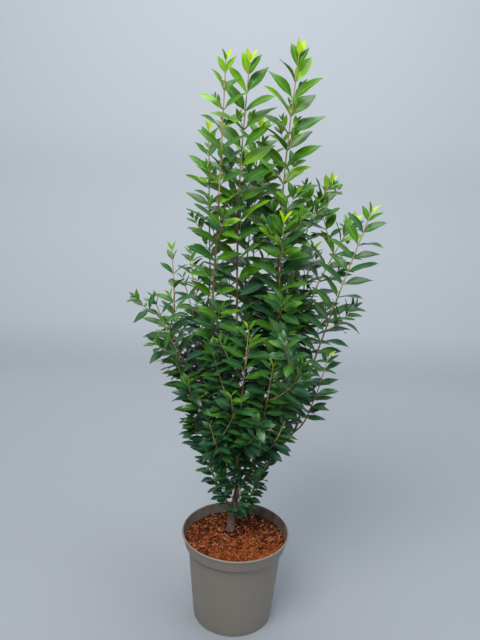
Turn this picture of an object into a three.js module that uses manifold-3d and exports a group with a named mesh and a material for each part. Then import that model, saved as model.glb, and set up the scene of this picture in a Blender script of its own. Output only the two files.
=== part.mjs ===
// Potted privet: an upright shrub of several stems, growing in a round plastic nursery pot.
// Millimetres, +Z up, the plant's front towards -Y. The origin is the centre of the pot's
// flat underside.
import * as THREE from "three";
import { mergeVertices } from "three/addons/utils/BufferGeometryUtils.js";
import Module from "manifold-3d";

const wasm = await Module();
wasm.setup();

const CLEAR = 0.3; // gap kept between neighbouring pieces
const FINEST = 0.05; // joined pieces keep no edge shorter than this
const TURN = 2 * Math.PI;
const UP = new THREE.Vector3(0, 0, 1);
const FRONT = new THREE.Vector3(0, -1, 0);

// Pot: a tapered shell with a proud band under its rim
const POT = {
  height: 233,
  rimRadius: 130,
  bandRadius: 127.5,
  bandFootRadius: 122,
  bandHeight: 33,
  shoulderRadius: 114,
  footRadius: 95.7,
  footHeight: 9,
  footStep: 1.6,
  wall: 2,
  floor: 3,
  lip: 4,
  edge: 1,
  ledge: 0.4,
  sides: 32,
};
const DRAIN = { count: 8, radius: 7, circle: 72, sides: 8 };

// Growing medium and the loose bark mulch on it
const COMPOST_TOP = 196;
const COMPOST_EASE = 2;
const MULCH = { edge: 206, crest: 217, ripple: 3, hole: 15, rings: 3, lumps: 5, across: 9, round: 13 };

// Trunk: from its flat foot on the compost to its fork
const TRUNK_WAY = [
  [-11, 28, COMPOST_TOP + CLEAR],
  [-12, 27, 246],
  [-1, 25, 318],
  [4, 24, 355],
  [1, 22, 389],
];
const TRUNK = { foot: 9.5, top: 6, flare: 5, flareHeight: 16, sides: 10, step: 22 };
const BOUGH = { sides: 6, step: 24 };

// Main stems. Each leaves its carrier at the height `from`, is a bare bough up to `bare`,
// and is the leading stem of one mass of shoots from there to its tip, the last point of
// `way`. `girth` is its radius at the foot, `leaf` the length of its largest leaves, `gap`
// the distance between leaf pairs, `bushy` how many of its leaf axils carry a side twig,
// and `spin` the heading of its first leaf pair in degrees.
const STEMS = {
  right: {
    carrier: "trunk", from: 322, bare: 446, girth: 4.8, leaf: 76, gap: 40, bushy: 0.55, spin: 100,
    way: [[50, 20, 426], [66, 20, 704], [71, 20, 1115], [85, 20, 1323]],
  },
  centre: {
    carrier: "trunk", from: 389, bare: 410, girth: 4.2, leaf: 74, gap: 43, bushy: 0.55, spin: 45,
    way: [[-17, 6, 740], [-24, -9, 1072], [-14, -25, 1302]],
  },
  left: {
    carrier: "trunk", from: 368, bare: 424, girth: 4.2, leaf: 72, gap: 43, bushy: 0.55, spin: 95,
    way: [[-33, 10, 492], [-69, -8, 707], [-66, -27, 1000], [-60, -45, 1303]],
  },
  right_inner: {
    carrier: "right", from: 396, bare: 440, girth: 3.4, leaf: 56, gap: 34, bushy: 0.4, spin: 60,
    way: [[84, 34, 632], [122, 27, 733], [159, 30, 848], [225, 35, 988]],
  },
  right_outer: {
    carrier: "right", from: 414, bare: 442, girth: 3.4, leaf: 55, gap: 31, bushy: 0.3, spin: 10,
    way: [[106, 0, 473], [144, -12, 627], [199, -20, 835], [251, -30, 1018]],
  },
  left_front: {
    carrier: "right", from: 432, bare: 458, girth: 3.4, leaf: 55, gap: 31, bushy: 0.45, spin: 35,
    way: [[26, 0, 482], [-69, -28, 600], [-144, -57, 708], [-193, -85, 832]],
  },
  low_left: {
    carrier: "trunk", from: 268, bare: 292, girth: 3, leaf: 50, gap: 27, bushy: 0.4, spin: 0,
    way: [[-34, 9, 322], [-60, 0, 382], [-78, -10, 475], [-95, -26, 545], [-146, -60, 682]],
  },
  front: {
    carrier: "trunk", from: 340, bare: 368, girth: 3.4, leaf: 52, gap: 30, bushy: 0.55, spin: 15,
    way: [[-8, -58, 500], [-23, -140, 642]],
  },
  front_right: {
    carrier: "right", from: 376, bare: 400, girth: 3.2, leaf: 52, gap: 30, bushy: 0.5, spin: 50,
    way: [[48, -62, 540], [62, -125, 706]],
  },
  back: {
    carrier: "trunk", from: 372, bare: 398, girth: 3.8, leaf: 62, gap: 42, bushy: 0.45, spin: 30,
    way: [[6, 84, 520], [16, 120, 760], [10, 146, 1030]],
  },
  back_left: {
    carrier: "trunk", from: 338, bare: 374, girth: 3.6, leaf: 56, gap: 36, bushy: 0.4, spin: 70,
    way: [[-52, 74, 460], [-98, 122, 650], [-140, 168, 880]],
  },
  back_right: {
    carrier: "trunk", from: 352, bare: 384, girth: 3.6, leaf: 56, gap: 36, bushy: 0.4, spin: 5,
    way: [[58, 80, 470], [106, 124, 650], [158, 168, 900]],
  },
  foot: {
    carrier: "trunk", from: 252, bare: 0, girth: 1.9, leaf: 36, gap: 19, bushy: 0, spin: 45,
    way: [[12, -6, 298], [34, -18, 345], [42, -20, 392]],
  },
};

// Second leading shoots that fork off a main stem, inside the same mass
const FORKS = [
  { stem: "right", from: 690, girth: 2, leaf: 64, gap: 36, bushy: 0.3, spin: 0,
    way: [[70, -35, 893], [70, -60, 996]] },
  { stem: "centre", from: 600, girth: 2.2, leaf: 66, gap: 40, bushy: 0.3, spin: 30,
    way: [[-3, 45, 823], [7, 60, 1056], [15, 75, 1178]] },
  { stem: "left", from: 620, girth: 2.2, leaf: 66, gap: 40, bushy: 0.3, spin: 65,
    way: [[-82, 30, 869], [-94, 40, 1168]] },
  { stem: "right_inner", from: 600, girth: 2.2, leaf: 56, gap: 34, bushy: 0.3, spin: 80,
    way: [[86, 40, 700], [116, 42, 904], [137, 48, 994], [172, 55, 1068]] },
  { stem: "right_outer", from: 500, girth: 2, leaf: 50, gap: 29, bushy: 0.3, spin: 40,
    way: [[160, -48, 600], [182, -70, 712]] },
  { stem: "left_front", from: 700, girth: 1.8, leaf: 54, gap: 33, bushy: 0.2, spin: 5,
    way: [[-152, -48, 807], [-160, -38, 924]] },
  { stem: "left_front", from: 600, girth: 1.9, leaf: 50, gap: 31, bushy: 0.3, spin: 50,
    way: [[-99, -16, 722], [-139, 0, 856]] },
  { stem: "front", from: 500, girth: 2.2, leaf: 54, gap: 32, bushy: 0.4, spin: 60,
    way: [[0, -92, 620], [8, -118, 780]] },
  { stem: "front_right", from: 540, girth: 1.9, leaf: 50, gap: 29, bushy: 0.3, spin: 20,
    way: [[96, -84, 620], [124, -98, 700]] },
  { stem: "low_left", from: 400, girth: 1.6, leaf: 46, gap: 24, bushy: 0, spin: 30,
    way: [[-95, 10, 455], [-112, 20, 520]] },
  { stem: "front", from: 420, girth: 1.7, leaf: 44, gap: 26, bushy: 0, spin: 10,
    way: [[-40, -84, 480], [-66, -112, 560]] },
  { stem: "front_right", from: 430, girth: 1.8, leaf: 46, gap: 26, bushy: 0, spin: 40,
    way: [[70, -66, 490], [98, -76, 560]] },
  { stem: "back_right", from: 430, girth: 1.8, leaf: 47, gap: 27, bushy: 0, spin: 20,
    way: [[95, 60, 480], [120, 62, 560]] },
  { stem: "back", from: 540, girth: 2.2, leaf: 54, gap: 32, bushy: 0.4, spin: 10,
    way: [[-26, 122, 700], [-48, 160, 880]] },
  { stem: "back", from: 560, girth: 2.1, leaf: 54, gap: 32, bushy: 0.4, spin: 55,
    way: [[62, 128, 720], [78, 170, 900]] },
  { stem: "back_left", from: 480, girth: 2, leaf: 52, gap: 30, bushy: 0.4, spin: 25,
    way: [[-118, 74, 620], [-176, 92, 790]] },
  { stem: "back_right", from: 490, girth: 2, leaf: 52, gap: 30, bushy: 0.4, spin: 75,
    way: [[132, 76, 610], [190, 96, 770]] },
  { stem: "foot", from: 272, girth: 1.4, leaf: 34, gap: 18, bushy: 0, spin: 20,
    way: [[-28, -6, 326], [-36, -14, 372]] },
  { stem: "foot", from: 282, girth: 1.4, leaf: 36, gap: 18, bushy: 0, spin: 70,
    way: [[6, -34, 338], [2, -44, 390]] },
  { stem: "foot", from: 300, girth: 1.4, leaf: 36, gap: 18, bushy: 0, spin: 10,
    way: [[42, 6, 346], [56, 12, 388]] },
  { stem: "foot", from: 318, girth: 1.4, leaf: 40, gap: 20, bushy: 0, spin: 35,
    way: [[60, 18, 372], [80, 22, 424]] },
  { stem: "foot", from: 330, girth: 1.4, leaf: 40, gap: 20, bushy: 0, spin: 50,
    way: [[-20, -44, 392], [-28, -66, 456]] },
  { stem: "foot", from: 345, girth: 1.4, leaf: 42, gap: 21, bushy: 0, spin: 0,
    way: [[52, -36, 404], [74, -50, 456]] },
];

// Leafy stems and side twigs are four-sided, with a leaf pair's roots on two of the sides
const STEM = { sides: 4, step: 90, fuller: 1.15 };
const TIP_RADIUS = 1; // radius of a stem at its tip
const TAPER = 0.8; // how soon a stem thins along its length
const KNEE = { out: 13, up: 13 }; // a fork's first bend, beside and above where it leaves
const TWIG = {
  reach: 150,
  top: 930,
  low: 400,
  least: 62,
  blades: 4,
  radius: 1.5,
  gap: 33,
  leaf: 0.82,
  spin: 90,
};
const TWIG_BEND = { ahead: 0.62, out: 0.78, rise: 0.45, aside: 12 };
const TWIG_LENGTHS = { least: 0.6, spread: 0.7 }; // shares of the reach
const BARE = { fork: 25, stem: 14, twig: 20 }; // length without leaves at the foot of each kind
const LEAF = { width: 0.5, widest: 0.5, thick: 0.07, sink: 0.5, thin: 1.5, larger: 1.5, lift: 0.5 };
const SPREAD = { low: 74, high: 60, from: 450, to: 1150 }; // leaves stand steeper high up, in degrees
const CLOSED = [34, 22, 11]; // degrees by which the first leaf pairs are closer to their stem
const FACING = { low: 0.28, high: 0.65, from: 780, to: 1120 }; // how much the blades face the front
const FAN = { low: 0.7, high: 0.4, from: 750, to: 1100 }; // how much the leaves turn to both sides low down
const LOW_LEAF = { least: 0.75, reached: 1.6 }; // leaves are smaller towards a stem's foot
const SWAY = 16; // spread in degrees of the leaves' headings and angles
const FIRST_PAIR = 1.5; // the last leaf pair stands this far below the tip
const FIRST_GAPS = [0.6, 0.9, 0.95]; // the leaf pairs stand closer towards a tip
const TIP_SIZES = [0.45, 0.76, 0.92]; // and the leaves there are smaller
const AIMS = [0, 20, -20, 40, -40]; // turns in degrees tried for a leaf that has no room
const SMALLER = [1, 0.8]; // and sizes
const TWIG_KEY = 100; // sets the side twigs' chances apart from the stems'

// Room kept free round the limbs and the pot, and the steps at which stems are measured
const ROOM = { between: 0.6, limb: 2, pot: 2, mulch: 6, mouth: 100 };
const MEASURE = { stem: 45, limb: 12 };

// Outline of the crown, narrow at its foot: heights and the widths out from its middle
const CROWN = [
  [250, 40],
  [316, 54],
  [374, 60],
  [421, 80],
  [450, 106],
  [500, 136],
  [563, 162],
  [650, 194],
  [705, 230],
  [780, 264],
];
const CROWN_MIDDLE = { low: -14, high: 0, from: 430, to: 520, back: 12 }; // to the left at its foot
const CROWN_SPARE = { leaf: -16, twig: 22 }; // room left inside it, where leaves may reach out a little

// The stretch of trunk that the leaves leave in sight from the front and above
const SIGHT = { low: 284, high: 334, half: 12, depth: 22, slope: 0.6 };

const MATERIALS = {
  pot: new THREE.MeshStandardMaterial({ color: 0x6f6b62, roughness: 0.55 }),
  compost: new THREE.MeshStandardMaterial({ color: 0x2a1d15, roughness: 0.95 }),
  mulch: new THREE.MeshStandardMaterial({ color: 0x8c4524, roughness: 0.95 }),
  bark: new THREE.MeshStandardMaterial({ color: 0x7d6a55, roughness: 0.85 }),
  leaf: new THREE.MeshStandardMaterial({ color: 0x3c6b24, roughness: 0.4 }),
};

// A fixed number from 0 to 1 for a set of whole numbers, so that the plant never changes
function chance(...keys) {
  let h = 0x9e3779b9;
  for (const key of keys) {
    h = Math.imul(h ^ (key + 1), 0x85ebca6b);
    h ^= h >>> 13;
    h = Math.imul(h, 0xc2b2ae35);
    h ^= h >>> 16;
  }
  return (h >>> 0) / 4294967296;
}

// Solids from closed geometries, and geometries back from solids
function solidFrom(geometry) {
  const bare = geometry.clone();
  bare.deleteAttribute("normal");
  bare.deleteAttribute("uv");
  const merged = mergeVertices(bare, 1e-4);
  const vertProperties = merged.attributes.position.array;
  const triVerts = new Uint32Array(merged.index.array);
  return new wasm.Manifold(new wasm.Mesh({ numProp: 3, vertProperties, triVerts }));
}

function geometryFrom(solid) {
  const { vertProperties, numProp, triVerts } = solid.getMesh();
  const points = Array.from({ length: vertProperties.length / numProp }, (_, i) =>
    new THREE.Vector3().fromArray(vertProperties, i * numProp),
  );
  const geometry = indexed(points, drawTogether(points, triVerts).flat());
  geometry.computeVertexNormals();
  return geometry;
}

// Closed triangles with the ends of each very short edge drawn together, where the two ends
// have just two neighbours in common and so the skin stays closed
function drawTogether(points, triVerts) {
  const around = points.map(() => new Set());
  for (let i = 0; i < triVerts.length; i += 3) {
    const face = [...triVerts.subarray(i, i + 3)];
    face.forEach((v) => around[v].add(face));
  }
  const beside = (v) => new Set([...around[v]].flat().filter((other) => other !== v));
  points.forEach((point, keep) => {
    const near = [...beside(keep)].find((v) => {
      if (points[v].distanceTo(point) > FINEST) return false;
      const own = beside(keep);
      return [...beside(v)].filter((other) => own.has(other)).length === 2;
    });
    if (near === undefined) return;
    for (const face of around[keep]) {
      if (face.includes(near)) face.forEach((v) => around[v].delete(face));
      else {
        face[face.indexOf(keep)] = near;
        around[near].add(face);
      }
    }
    around[keep].clear();
  });
  return [...new Set(around.flatMap((faces) => [...faces]))];
}

function indexed(points, faces) {
  const geometry = new THREE.BufferGeometry().setFromPoints(points);
  geometry.setIndex(faces);
  return geometry;
}

// A closed skin over rings of points, each ring anticlockwise about the way they run
function skin(rings) {
  const sides = rings[0].length;
  const faces = [];
  for (let r = 1; r < rings.length; r++) {
    for (let s = 0; s < sides; s++) {
      const a = (r - 1) * sides + s;
      const b = (r - 1) * sides + ((s + 1) % sides);
      faces.push(a, b, b + sides, a, b + sides, a + sides);
    }
  }
  const last = (rings.length - 1) * sides;
  for (let s = 1; s < sides - 1; s++) {
    faces.push(0, s + 1, s, last, last + s, last + s + 1);
  }
  return indexed(rings.flat(), faces);
}

// Join a list of solids in pairs, and keep the largest closed skin of the result
function fuse(solids) {
  let list = solids;
  while (list.length > 1) {
    const next = [];
    for (let i = 0; i < list.length; i += 2) {
      next.push(i + 1 < list.length ? list[i].add(list[i + 1]) : list[i]);
    }
    list = next;
  }
  return largest(list[0]);
}

function largest(solid) {
  return solid.decompose().reduce((best, one) => (one.volume() > best.volume() ? one : best));
}

// A stem's line: it rises through its points on a smooth curve over the height
class Line {
  constructor(way, samples = 60) {
    const slopes = way.slice(1).map((p, i) => {
      const rise = p[2] - way[i][2];
      return [(p[0] - way[i][0]) / rise, (p[1] - way[i][1]) / rise, rise];
    });
    const lean = way.map((_, i) => {
      const before = slopes[Math.max(i - 1, 0)];
      const after = slopes[Math.min(i, slopes.length - 1)];
      const sum = before[2] + after[2];
      return [0, 1].map((c) => (before[c] * after[2] + after[c] * before[2]) / sum);
    });
    this.points = [];
    for (let n = 0; n <= samples; n++) {
      const z = way[0][2] + ((way[way.length - 1][2] - way[0][2]) * n) / samples;
      let i = 0;
      while (i < way.length - 2 && z > way[i + 1][2]) i++;
      const rise = slopes[i][2];
      const t = (z - way[i][2]) / rise;
      const at = [0, 1].map((c) => {
        const hold = way[i][c] * (2 * t ** 3 - 3 * t ** 2 + 1) + way[i + 1][c] * (3 * t ** 2 - 2 * t ** 3);
        const turn = lean[i][c] * (t ** 3 - 2 * t ** 2 + t) + lean[i + 1][c] * (t ** 3 - t ** 2);
        return hold + turn * rise;
      });
      this.points.push(new THREE.Vector3(at[0], at[1], z));
    }
    this.measure();
  }

  static through(points) {
    const line = Object.create(Line.prototype);
    line.points = points;
    line.measure();
    return line;
  }

  measure() {
    this.run = [0];
    for (let i = 1; i < this.points.length; i++) {
      this.run.push(this.run[i - 1] + this.points[i].distanceTo(this.points[i - 1]));
    }
    this.length = this.run[this.run.length - 1];
    let side = startSide(this.heading(0));
    this.sides = this.run.map((distance) => {
      [side] = sideways(this.heading(distance), side);
      return side;
    });
  }

  at(distance) {
    let i = 1;
    while (i < this.run.length - 1 && this.run[i] < distance) i++;
    const share = (distance - this.run[i - 1]) / (this.run[i] - this.run[i - 1]);
    return this.points[i - 1].clone().lerp(this.points[i], share);
  }

  heading(distance) {
    const step = Math.min(4, this.length / 4);
    const low = Math.max(0, Math.min(distance - step, this.length - 2 * step));
    return this.at(low + 2 * step).sub(this.at(low)).normalize();
  }

  // The heading at a distance and two directions square to it, which turn as little as can be
  frame(distance) {
    let i = 1;
    while (i < this.run.length - 1 && this.run[i] < distance) i++;
    const share = (distance - this.run[i - 1]) / (this.run[i] - this.run[i - 1]);
    const heading = this.heading(distance);
    const near = this.sides[i - 1].clone().lerp(this.sides[i], share);
    return [heading, ...sideways(heading, near)];
  }

  // The distance along the line at which it reaches a height
  reaches(z) {
    let i = 1;
    while (i < this.points.length - 1 && this.points[i].z < z) i++;
    const share = (z - this.points[i - 1].z) / (this.points[i].z - this.points[i - 1].z);
    return this.run[i - 1] + share * (this.run[i] - this.run[i - 1]);
  }

  from(z) {
    return this.at(this.reaches(z));
  }
}

// Two directions square to a heading, the first as near as can be to a given one
function sideways(heading, near) {
  const first = near.clone().addScaledVector(heading, -near.dot(heading)).normalize();
  const second = heading.clone().cross(first);
  return [first, second];
}

function startSide(heading) {
  return Math.abs(heading.z) > 0.7 ? new THREE.Vector3(1, 0, 0) : UP.clone();
}

// A tapering many-sided limb along a line, between two distances on it. A level foot is cut
// flat across, and every other section is square to the line.
function limb(line, [begin, end], radiusAt, { sides, step, turn = 0, levelFoot = false }) {
  const count = Math.max(1, Math.round((end - begin) / step));
  const rings = [];
  for (let n = 0; n <= count; n++) {
    const distance = begin + ((end - begin) * n) / count;
    const centre = line.at(distance);
    const [heading, first] = line.frame(distance);
    const [side, across] = sideways(levelFoot && n === 0 ? UP : heading, first);
    const radius = radiusAt(distance);
    rings.push(
      Array.from({ length: sides }, (_, s) => {
        const angle = (TURN * s) / sides + turn;
        return centre
          .clone()
          .addScaledVector(side, radius * Math.cos(angle))
          .addScaledVector(across, radius * Math.sin(angle));
      }),
    );
  }
  return skin(rings);
}

// Pot, compost and mulch
function turned(profile, sides = POT.sides) {
  const outline = profile.map(([radius, z]) => new THREE.Vector2(radius, z));
  const lathe = new THREE.LatheGeometry(outline, sides);
  lathe.rotateX(Math.PI / 2);
  return lathe;
}

function outerRadius(z) {
  const share = (z - POT.footHeight) / (POT.height - POT.bandHeight - POT.footHeight);
  return POT.footRadius + POT.footStep + share * (POT.shoulderRadius - POT.footRadius - POT.footStep);
}

function innerRadius(z) {
  return outerRadius(z) - POT.wall;
}

// The inside of the band, from the ledge at its foot up to the mouth
const bandFoot = POT.height - POT.bandHeight;
const ledge = { inner: bandFoot + POT.wall, outer: bandFoot + POT.wall + POT.ledge };

function bandInnerRadius(z) {
  const share = (z - ledge.outer) / (POT.height - POT.edge - ledge.outer);
  return POT.bandFootRadius + share * (POT.bandRadius - POT.bandFootRadius) - POT.wall;
}

function makePot() {
  const mouth = bandInnerRadius(POT.height - POT.edge);
  const shell = solidFrom(
    turned([
      [0, 0],
      [POT.footRadius, 0],
      [POT.footRadius, POT.footHeight - POT.edge],
      [outerRadius(POT.footHeight), POT.footHeight],
      [outerRadius(bandFoot), bandFoot],
      [POT.bandFootRadius, bandFoot],
      [POT.bandRadius, POT.height - POT.lip - POT.edge],
      [POT.rimRadius, POT.height - POT.lip],
      [POT.rimRadius, POT.height - POT.edge],
      [POT.rimRadius - POT.edge, POT.height],
      [mouth + POT.edge, POT.height],
      [mouth, POT.height - POT.edge],
      [bandInnerRadius(ledge.outer), ledge.outer],
      [innerRadius(bandFoot), ledge.inner],
      [innerRadius(POT.floor), POT.floor],
      [0, POT.floor],
    ]),
  );
  const drains = [];
  for (let i = 0; i < DRAIN.count; i++) {
    const hole = new THREE.CylinderGeometry(DRAIN.radius, DRAIN.radius, 4 * POT.floor, DRAIN.sides);
    hole.rotateX(Math.PI / 2);
    const turn = (TURN * (i + 0.5)) / DRAIN.count;
    hole.translate(DRAIN.circle * Math.cos(turn), DRAIN.circle * Math.sin(turn), POT.floor / 2);
    drains.push(solidFrom(hole));
  }
  return drains.reduce((pot, hole) => pot.subtract(hole), shell);
}

function makeCompost() {
  const foot = POT.floor + CLEAR;
  const gap = 2 * CLEAR;
  return solidFrom(
    turned([
      [0, foot],
      [innerRadius(foot) - gap - COMPOST_EASE, foot],
      [innerRadius(foot + COMPOST_EASE) - gap, foot + COMPOST_EASE],
      [innerRadius(COMPOST_TOP) - gap, COMPOST_TOP],
      [0, COMPOST_TOP],
    ]),
  );
}

// The mulch lies in low lumps, higher towards the trunk, with a hole round the trunk's foot
function mulchTop(radius, turn) {
  const share = (radius - MULCH.hole) / (mulchEdge() - MULCH.hole);
  const spokes = Math.sin(MULCH.lumps * turn + radius / MULCH.across);
  const hoops = Math.sin(radius / MULCH.round + 2 * turn);
  const lump = MULCH.ripple * spokes * hoops * (1 - share ** 4);
  return MULCH.crest + share * (MULCH.edge - MULCH.crest) + lump;
}

function mulchEdge() {
  return bandInnerRadius(MULCH.edge) - 2 * CLEAR;
}

function makeMulch() {
  const [x, y] = TRUNK_WAY[0];
  const centre = new THREE.Vector2(x, y);
  const foot = COMPOST_TOP + CLEAR;
  const ring = (share, heightAt) =>
    Array.from({ length: POT.sides }, (_, s) => {
      const turn = (TURN * s) / POT.sides;
      const hole = new THREE.Vector2(Math.cos(turn), Math.sin(turn)).multiplyScalar(MULCH.hole).add(centre);
      const rim = new THREE.Vector2(Math.cos(turn), Math.sin(turn)).multiplyScalar(mulchEdge());
      const place = hole.lerp(rim, share);
      const radius = MULCH.hole + share * (mulchEdge() - MULCH.hole);
      return new THREE.Vector3(place.x, place.y, heightAt(radius, turn));
    });
  const wallRing = (radius, z) =>
    ring(1, () => z).map((p) => p.multiply(new THREE.Vector3(radius / mulchEdge(), radius / mulchEdge(), 1)));
  const rings = [
    ring(0, () => foot),
    wallRing(innerRadius(foot) - 2 * CLEAR, foot),
    wallRing(innerRadius(bandFoot) - 2 * CLEAR, ledge.inner + CLEAR),
    wallRing(bandInnerRadius(ledge.outer) - 2 * CLEAR, ledge.outer + CLEAR),
  ];
  for (let r = MULCH.rings; r >= 0; r--) {
    rings.push(ring(r / MULCH.rings, mulchTop));
  }
  const faces = [];
  rings.forEach((_, r) => {
    const next = (r + 1) % rings.length;
    for (let s = 0; s < POT.sides; s++) {
      const t = (s + 1) % POT.sides;
      const [a, b] = [r * POT.sides + s, r * POT.sides + t];
      const [c, d] = [next * POT.sides + t, next * POT.sides + s];
      faces.push(a, b, c, a, c, d);
    }
  });
  return solidFrom(indexed(rings.flat(), faces));
}

// Trunk
const trunkLine = new Line(TRUNK_WAY);

function trunkRadius(distance) {
  const taper = TRUNK.foot + (TRUNK.top - TRUNK.foot) * (distance / trunkLine.length);
  return taper + TRUNK.flare * Math.exp(-distance / TRUNK.flareHeight);
}

// Main stems as lines, each with its limb's radius at any distance along it
function stemRadius(stem) {
  return (distance) => {
    const share = Math.min(1, distance / stem.line.length);
    return stem.girth + (TIP_RADIUS - stem.girth) * share ** TAPER;
  };
}

const limbs = { trunk: { line: trunkLine, radiusAt: trunkRadius, bareEnd: trunkLine.length } };
for (const [name, stem] of Object.entries(STEMS)) {
  const start = limbs[stem.carrier].line.from(stem.from);
  stem.line = new Line([start.toArray(), ...stem.way]);
  stem.radiusAt = stemRadius(stem);
  stem.bareEnd = stem.bare ? stem.line.reaches(stem.bare) : 0;
  limbs[name] = stem;
}
for (const fork of FORKS) {
  const start = STEMS[fork.stem].line.from(fork.from);
  const knee = new THREE.Vector3(...fork.way[0]).sub(start).setZ(0);
  knee.setLength(KNEE.out).setZ(KNEE.up).add(start);
  fork.line = new Line([start.toArray(), knee.toArray(), ...fork.way]);
  fork.radiusAt = stemRadius(fork);
}

// Boughs: cut clear of the limb that carries them and of the boughs beside them
const boughs = {};

function grownLimb({ line, radiusAt }, end) {
  return solidFrom(limb(line, [0, end], (d) => radiusAt(d) + CLEAR, TRUNK));
}

const grownTrunk = grownLimb(limbs.trunk, trunkLine.length + CLEAR);

function makeBoughs() {
  let taken = grownTrunk;
  for (const [name, stem] of Object.entries(STEMS)) {
    if (!stem.bare) continue;
    const whole = solidFrom(limb(stem.line, [0, stem.bareEnd], stem.radiusAt, BOUGH));
    boughs[name] = largest(whole.subtract(taken));
    taken = taken.add(grownLimb(stem, stem.bareEnd + CLEAR));
  }
}

// Room for the masses: each holds the space nearest to its own leading stems
function axisOf(line, begin) {
  const count = Math.max(2, Math.round((line.length - begin) / MEASURE.stem));
  return Array.from({ length: count + 1 }, (_, n) => line.at(begin + ((line.length - begin) * n) / count));
}

const axes = Object.entries(STEMS).map(([name, stem]) => {
  return { name, points: axisOf(stem.line, stem.bareEnd) };
});
FORKS.forEach((fork) => axes.push({ name: fork.stem, points: axisOf(fork.line, 0) }));

const bareLimbs = Object.values(limbs)
  .filter(({ bareEnd }) => bareEnd > 0)
  .map(({ line, radiusAt, bareEnd }) => {
    const count = Math.round(bareEnd / MEASURE.limb);
    const points = Array.from({ length: count + 1 }, (_, n) => line.at((bareEnd * n) / count));
    return { points, widest: Math.max(...points.map((_, n) => radiusAt((bareEnd * n) / count))) };
  });

const nearest = new THREE.Vector3();
const piece = new THREE.Line3();

function distanceTo(points, place) {
  let best = Infinity;
  for (let i = 1; i < points.length; i++) {
    piece.set(points[i - 1], points[i]).closestPointToPoint(place, true, nearest);
    best = Math.min(best, nearest.distanceTo(place));
  }
  return best;
}

function inOwnSpace(mass, places) {
  return places.every((place) => {
    let own = Infinity;
    let other = Infinity;
    for (const { name, points } of axes) {
      const distance = distanceTo(points, place);
      if (name === mass) own = Math.min(own, distance);
      else other = Math.min(other, distance);
    }
    return own + ROOM.between < other;
  });
}

function clearOfLimbs(places) {
  return bareLimbs.every(({ points, widest }) =>
    places.every((place) => distanceTo(points, place) > widest + ROOM.limb),
  );
}

function abovePot(places) {
  return places.every(({ x, y, z }) => {
    const inMouth = z > MULCH.crest + ROOM.mulch && Math.hypot(x, y) < ROOM.mouth;
    return inMouth || z > POT.height + ROOM.pot;
  });
}

// The value at a height in a list of heights and values
function valueAt(rows, z) {
  const next = rows.findIndex(([height]) => height > z);
  if (next < 0) return rows.at(-1)[1];
  if (next === 0) return rows[0][1];
  const [[from, first], [to, last]] = [rows[next - 1], rows[next]];
  return THREE.MathUtils.mapLinear(z, from, to, first, last);
}

function insideCrown(places, spare) {
  return places.every(({ x, y, z }) => {
    const above = z > CROWN.at(-1)[0];
    const out = Math.hypot(x - atHeight(CROWN_MIDDLE, z), y - CROWN_MIDDLE.back);
    return above || out < valueAt(CROWN, z) - spare;
  });
}

const trunkPlaces = TRUNK_WAY.map(([x, , z]) => [z, x]);

function clearOfSight(places) {
  return places.every(({ x, y, z }) => {
    const hidden = z - SIGHT.slope * (SIGHT.depth - y);
    const beside = Math.abs(x - valueAt(trunkPlaces, hidden)) > SIGHT.half;
    return beside || y > SIGHT.depth || hidden < SIGHT.low || hidden > SIGHT.high;
  });
}

function hasRoom(mass, places, spare) {
  const free = inOwnSpace(mass, places) && clearOfLimbs(places) && abovePot(places);
  return free && insideCrown(places, spare) && clearOfSight(places);
}

// One leaf: a thin diamond, keeled from root to tip, with its root sunk in the twig
function leafPoints(root, along, flat, length, sink) {
  const [face] = sideways(along, flat);
  const across = along.clone().cross(face);
  const middle = root.clone().addScaledVector(along, LEAF.widest * length);
  middle.addScaledVector(face, LEAF.thick * length);
  const half = (LEAF.width * length) / 2;
  return [
    root.clone().addScaledVector(along, -sink),
    root.clone().addScaledVector(along, length),
    middle.clone().addScaledVector(across, half),
    middle.clone().addScaledVector(across, -half),
  ];
}

const LEAF_FACES = [0, 2, 3, 1, 3, 2, 0, 1, 2, 0, 3, 1];

// Where a leaf has to have room: its corners and the middles of its blade
function leafPlaces([root, tip, left, right]) {
  const between = (a, b, share) => a.clone().lerp(b, share);
  return [
    tip,
    left,
    right,
    between(root, left, 0.55),
    between(root, right, 0.55),
    between(left, tip, 0.5),
    between(right, tip, 0.5),
    between(root, tip, 0.25),
    between(root, tip, 0.5),
    between(root, tip, 0.75),
  ];
}

// The leaf pairs of one twig, each pair square to the last, counted down from the tip
function pairsOf(line, begin, gap) {
  const pairs = [];
  let distance = line.length - FIRST_PAIR;
  for (let n = 0; distance > begin; n++) {
    pairs.push({ n, distance });
    distance -= gap * LEAF.thin * (FIRST_GAPS[n] ?? 1);
  }
  return pairs;
}

// A value that changes from low to high between two heights
function atHeight({ low, high, from, to }, z) {
  return low + THREE.MathUtils.clamp((z - from) / (to - from), 0, 1) * (high - low);
}

// One direction turned by an angle towards another that is square to it
function turnedFrom(first, second, angle) {
  return first.clone().multiplyScalar(Math.cos(angle)).addScaledVector(second, Math.sin(angle));
}

// A leaf's direction from its stem, turned towards the plant's left or right side low down
function fanned(bearing, heading, z, n) {
  const shift = new THREE.Vector3(n % 2 ? -1 : 1, -1, 0).multiplyScalar(atHeight(FAN, z) * bearing.y);
  const turned = bearing.clone().add(shift);
  return turned.addScaledVector(heading, -turned.dot(heading)).normalize();
}

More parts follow.
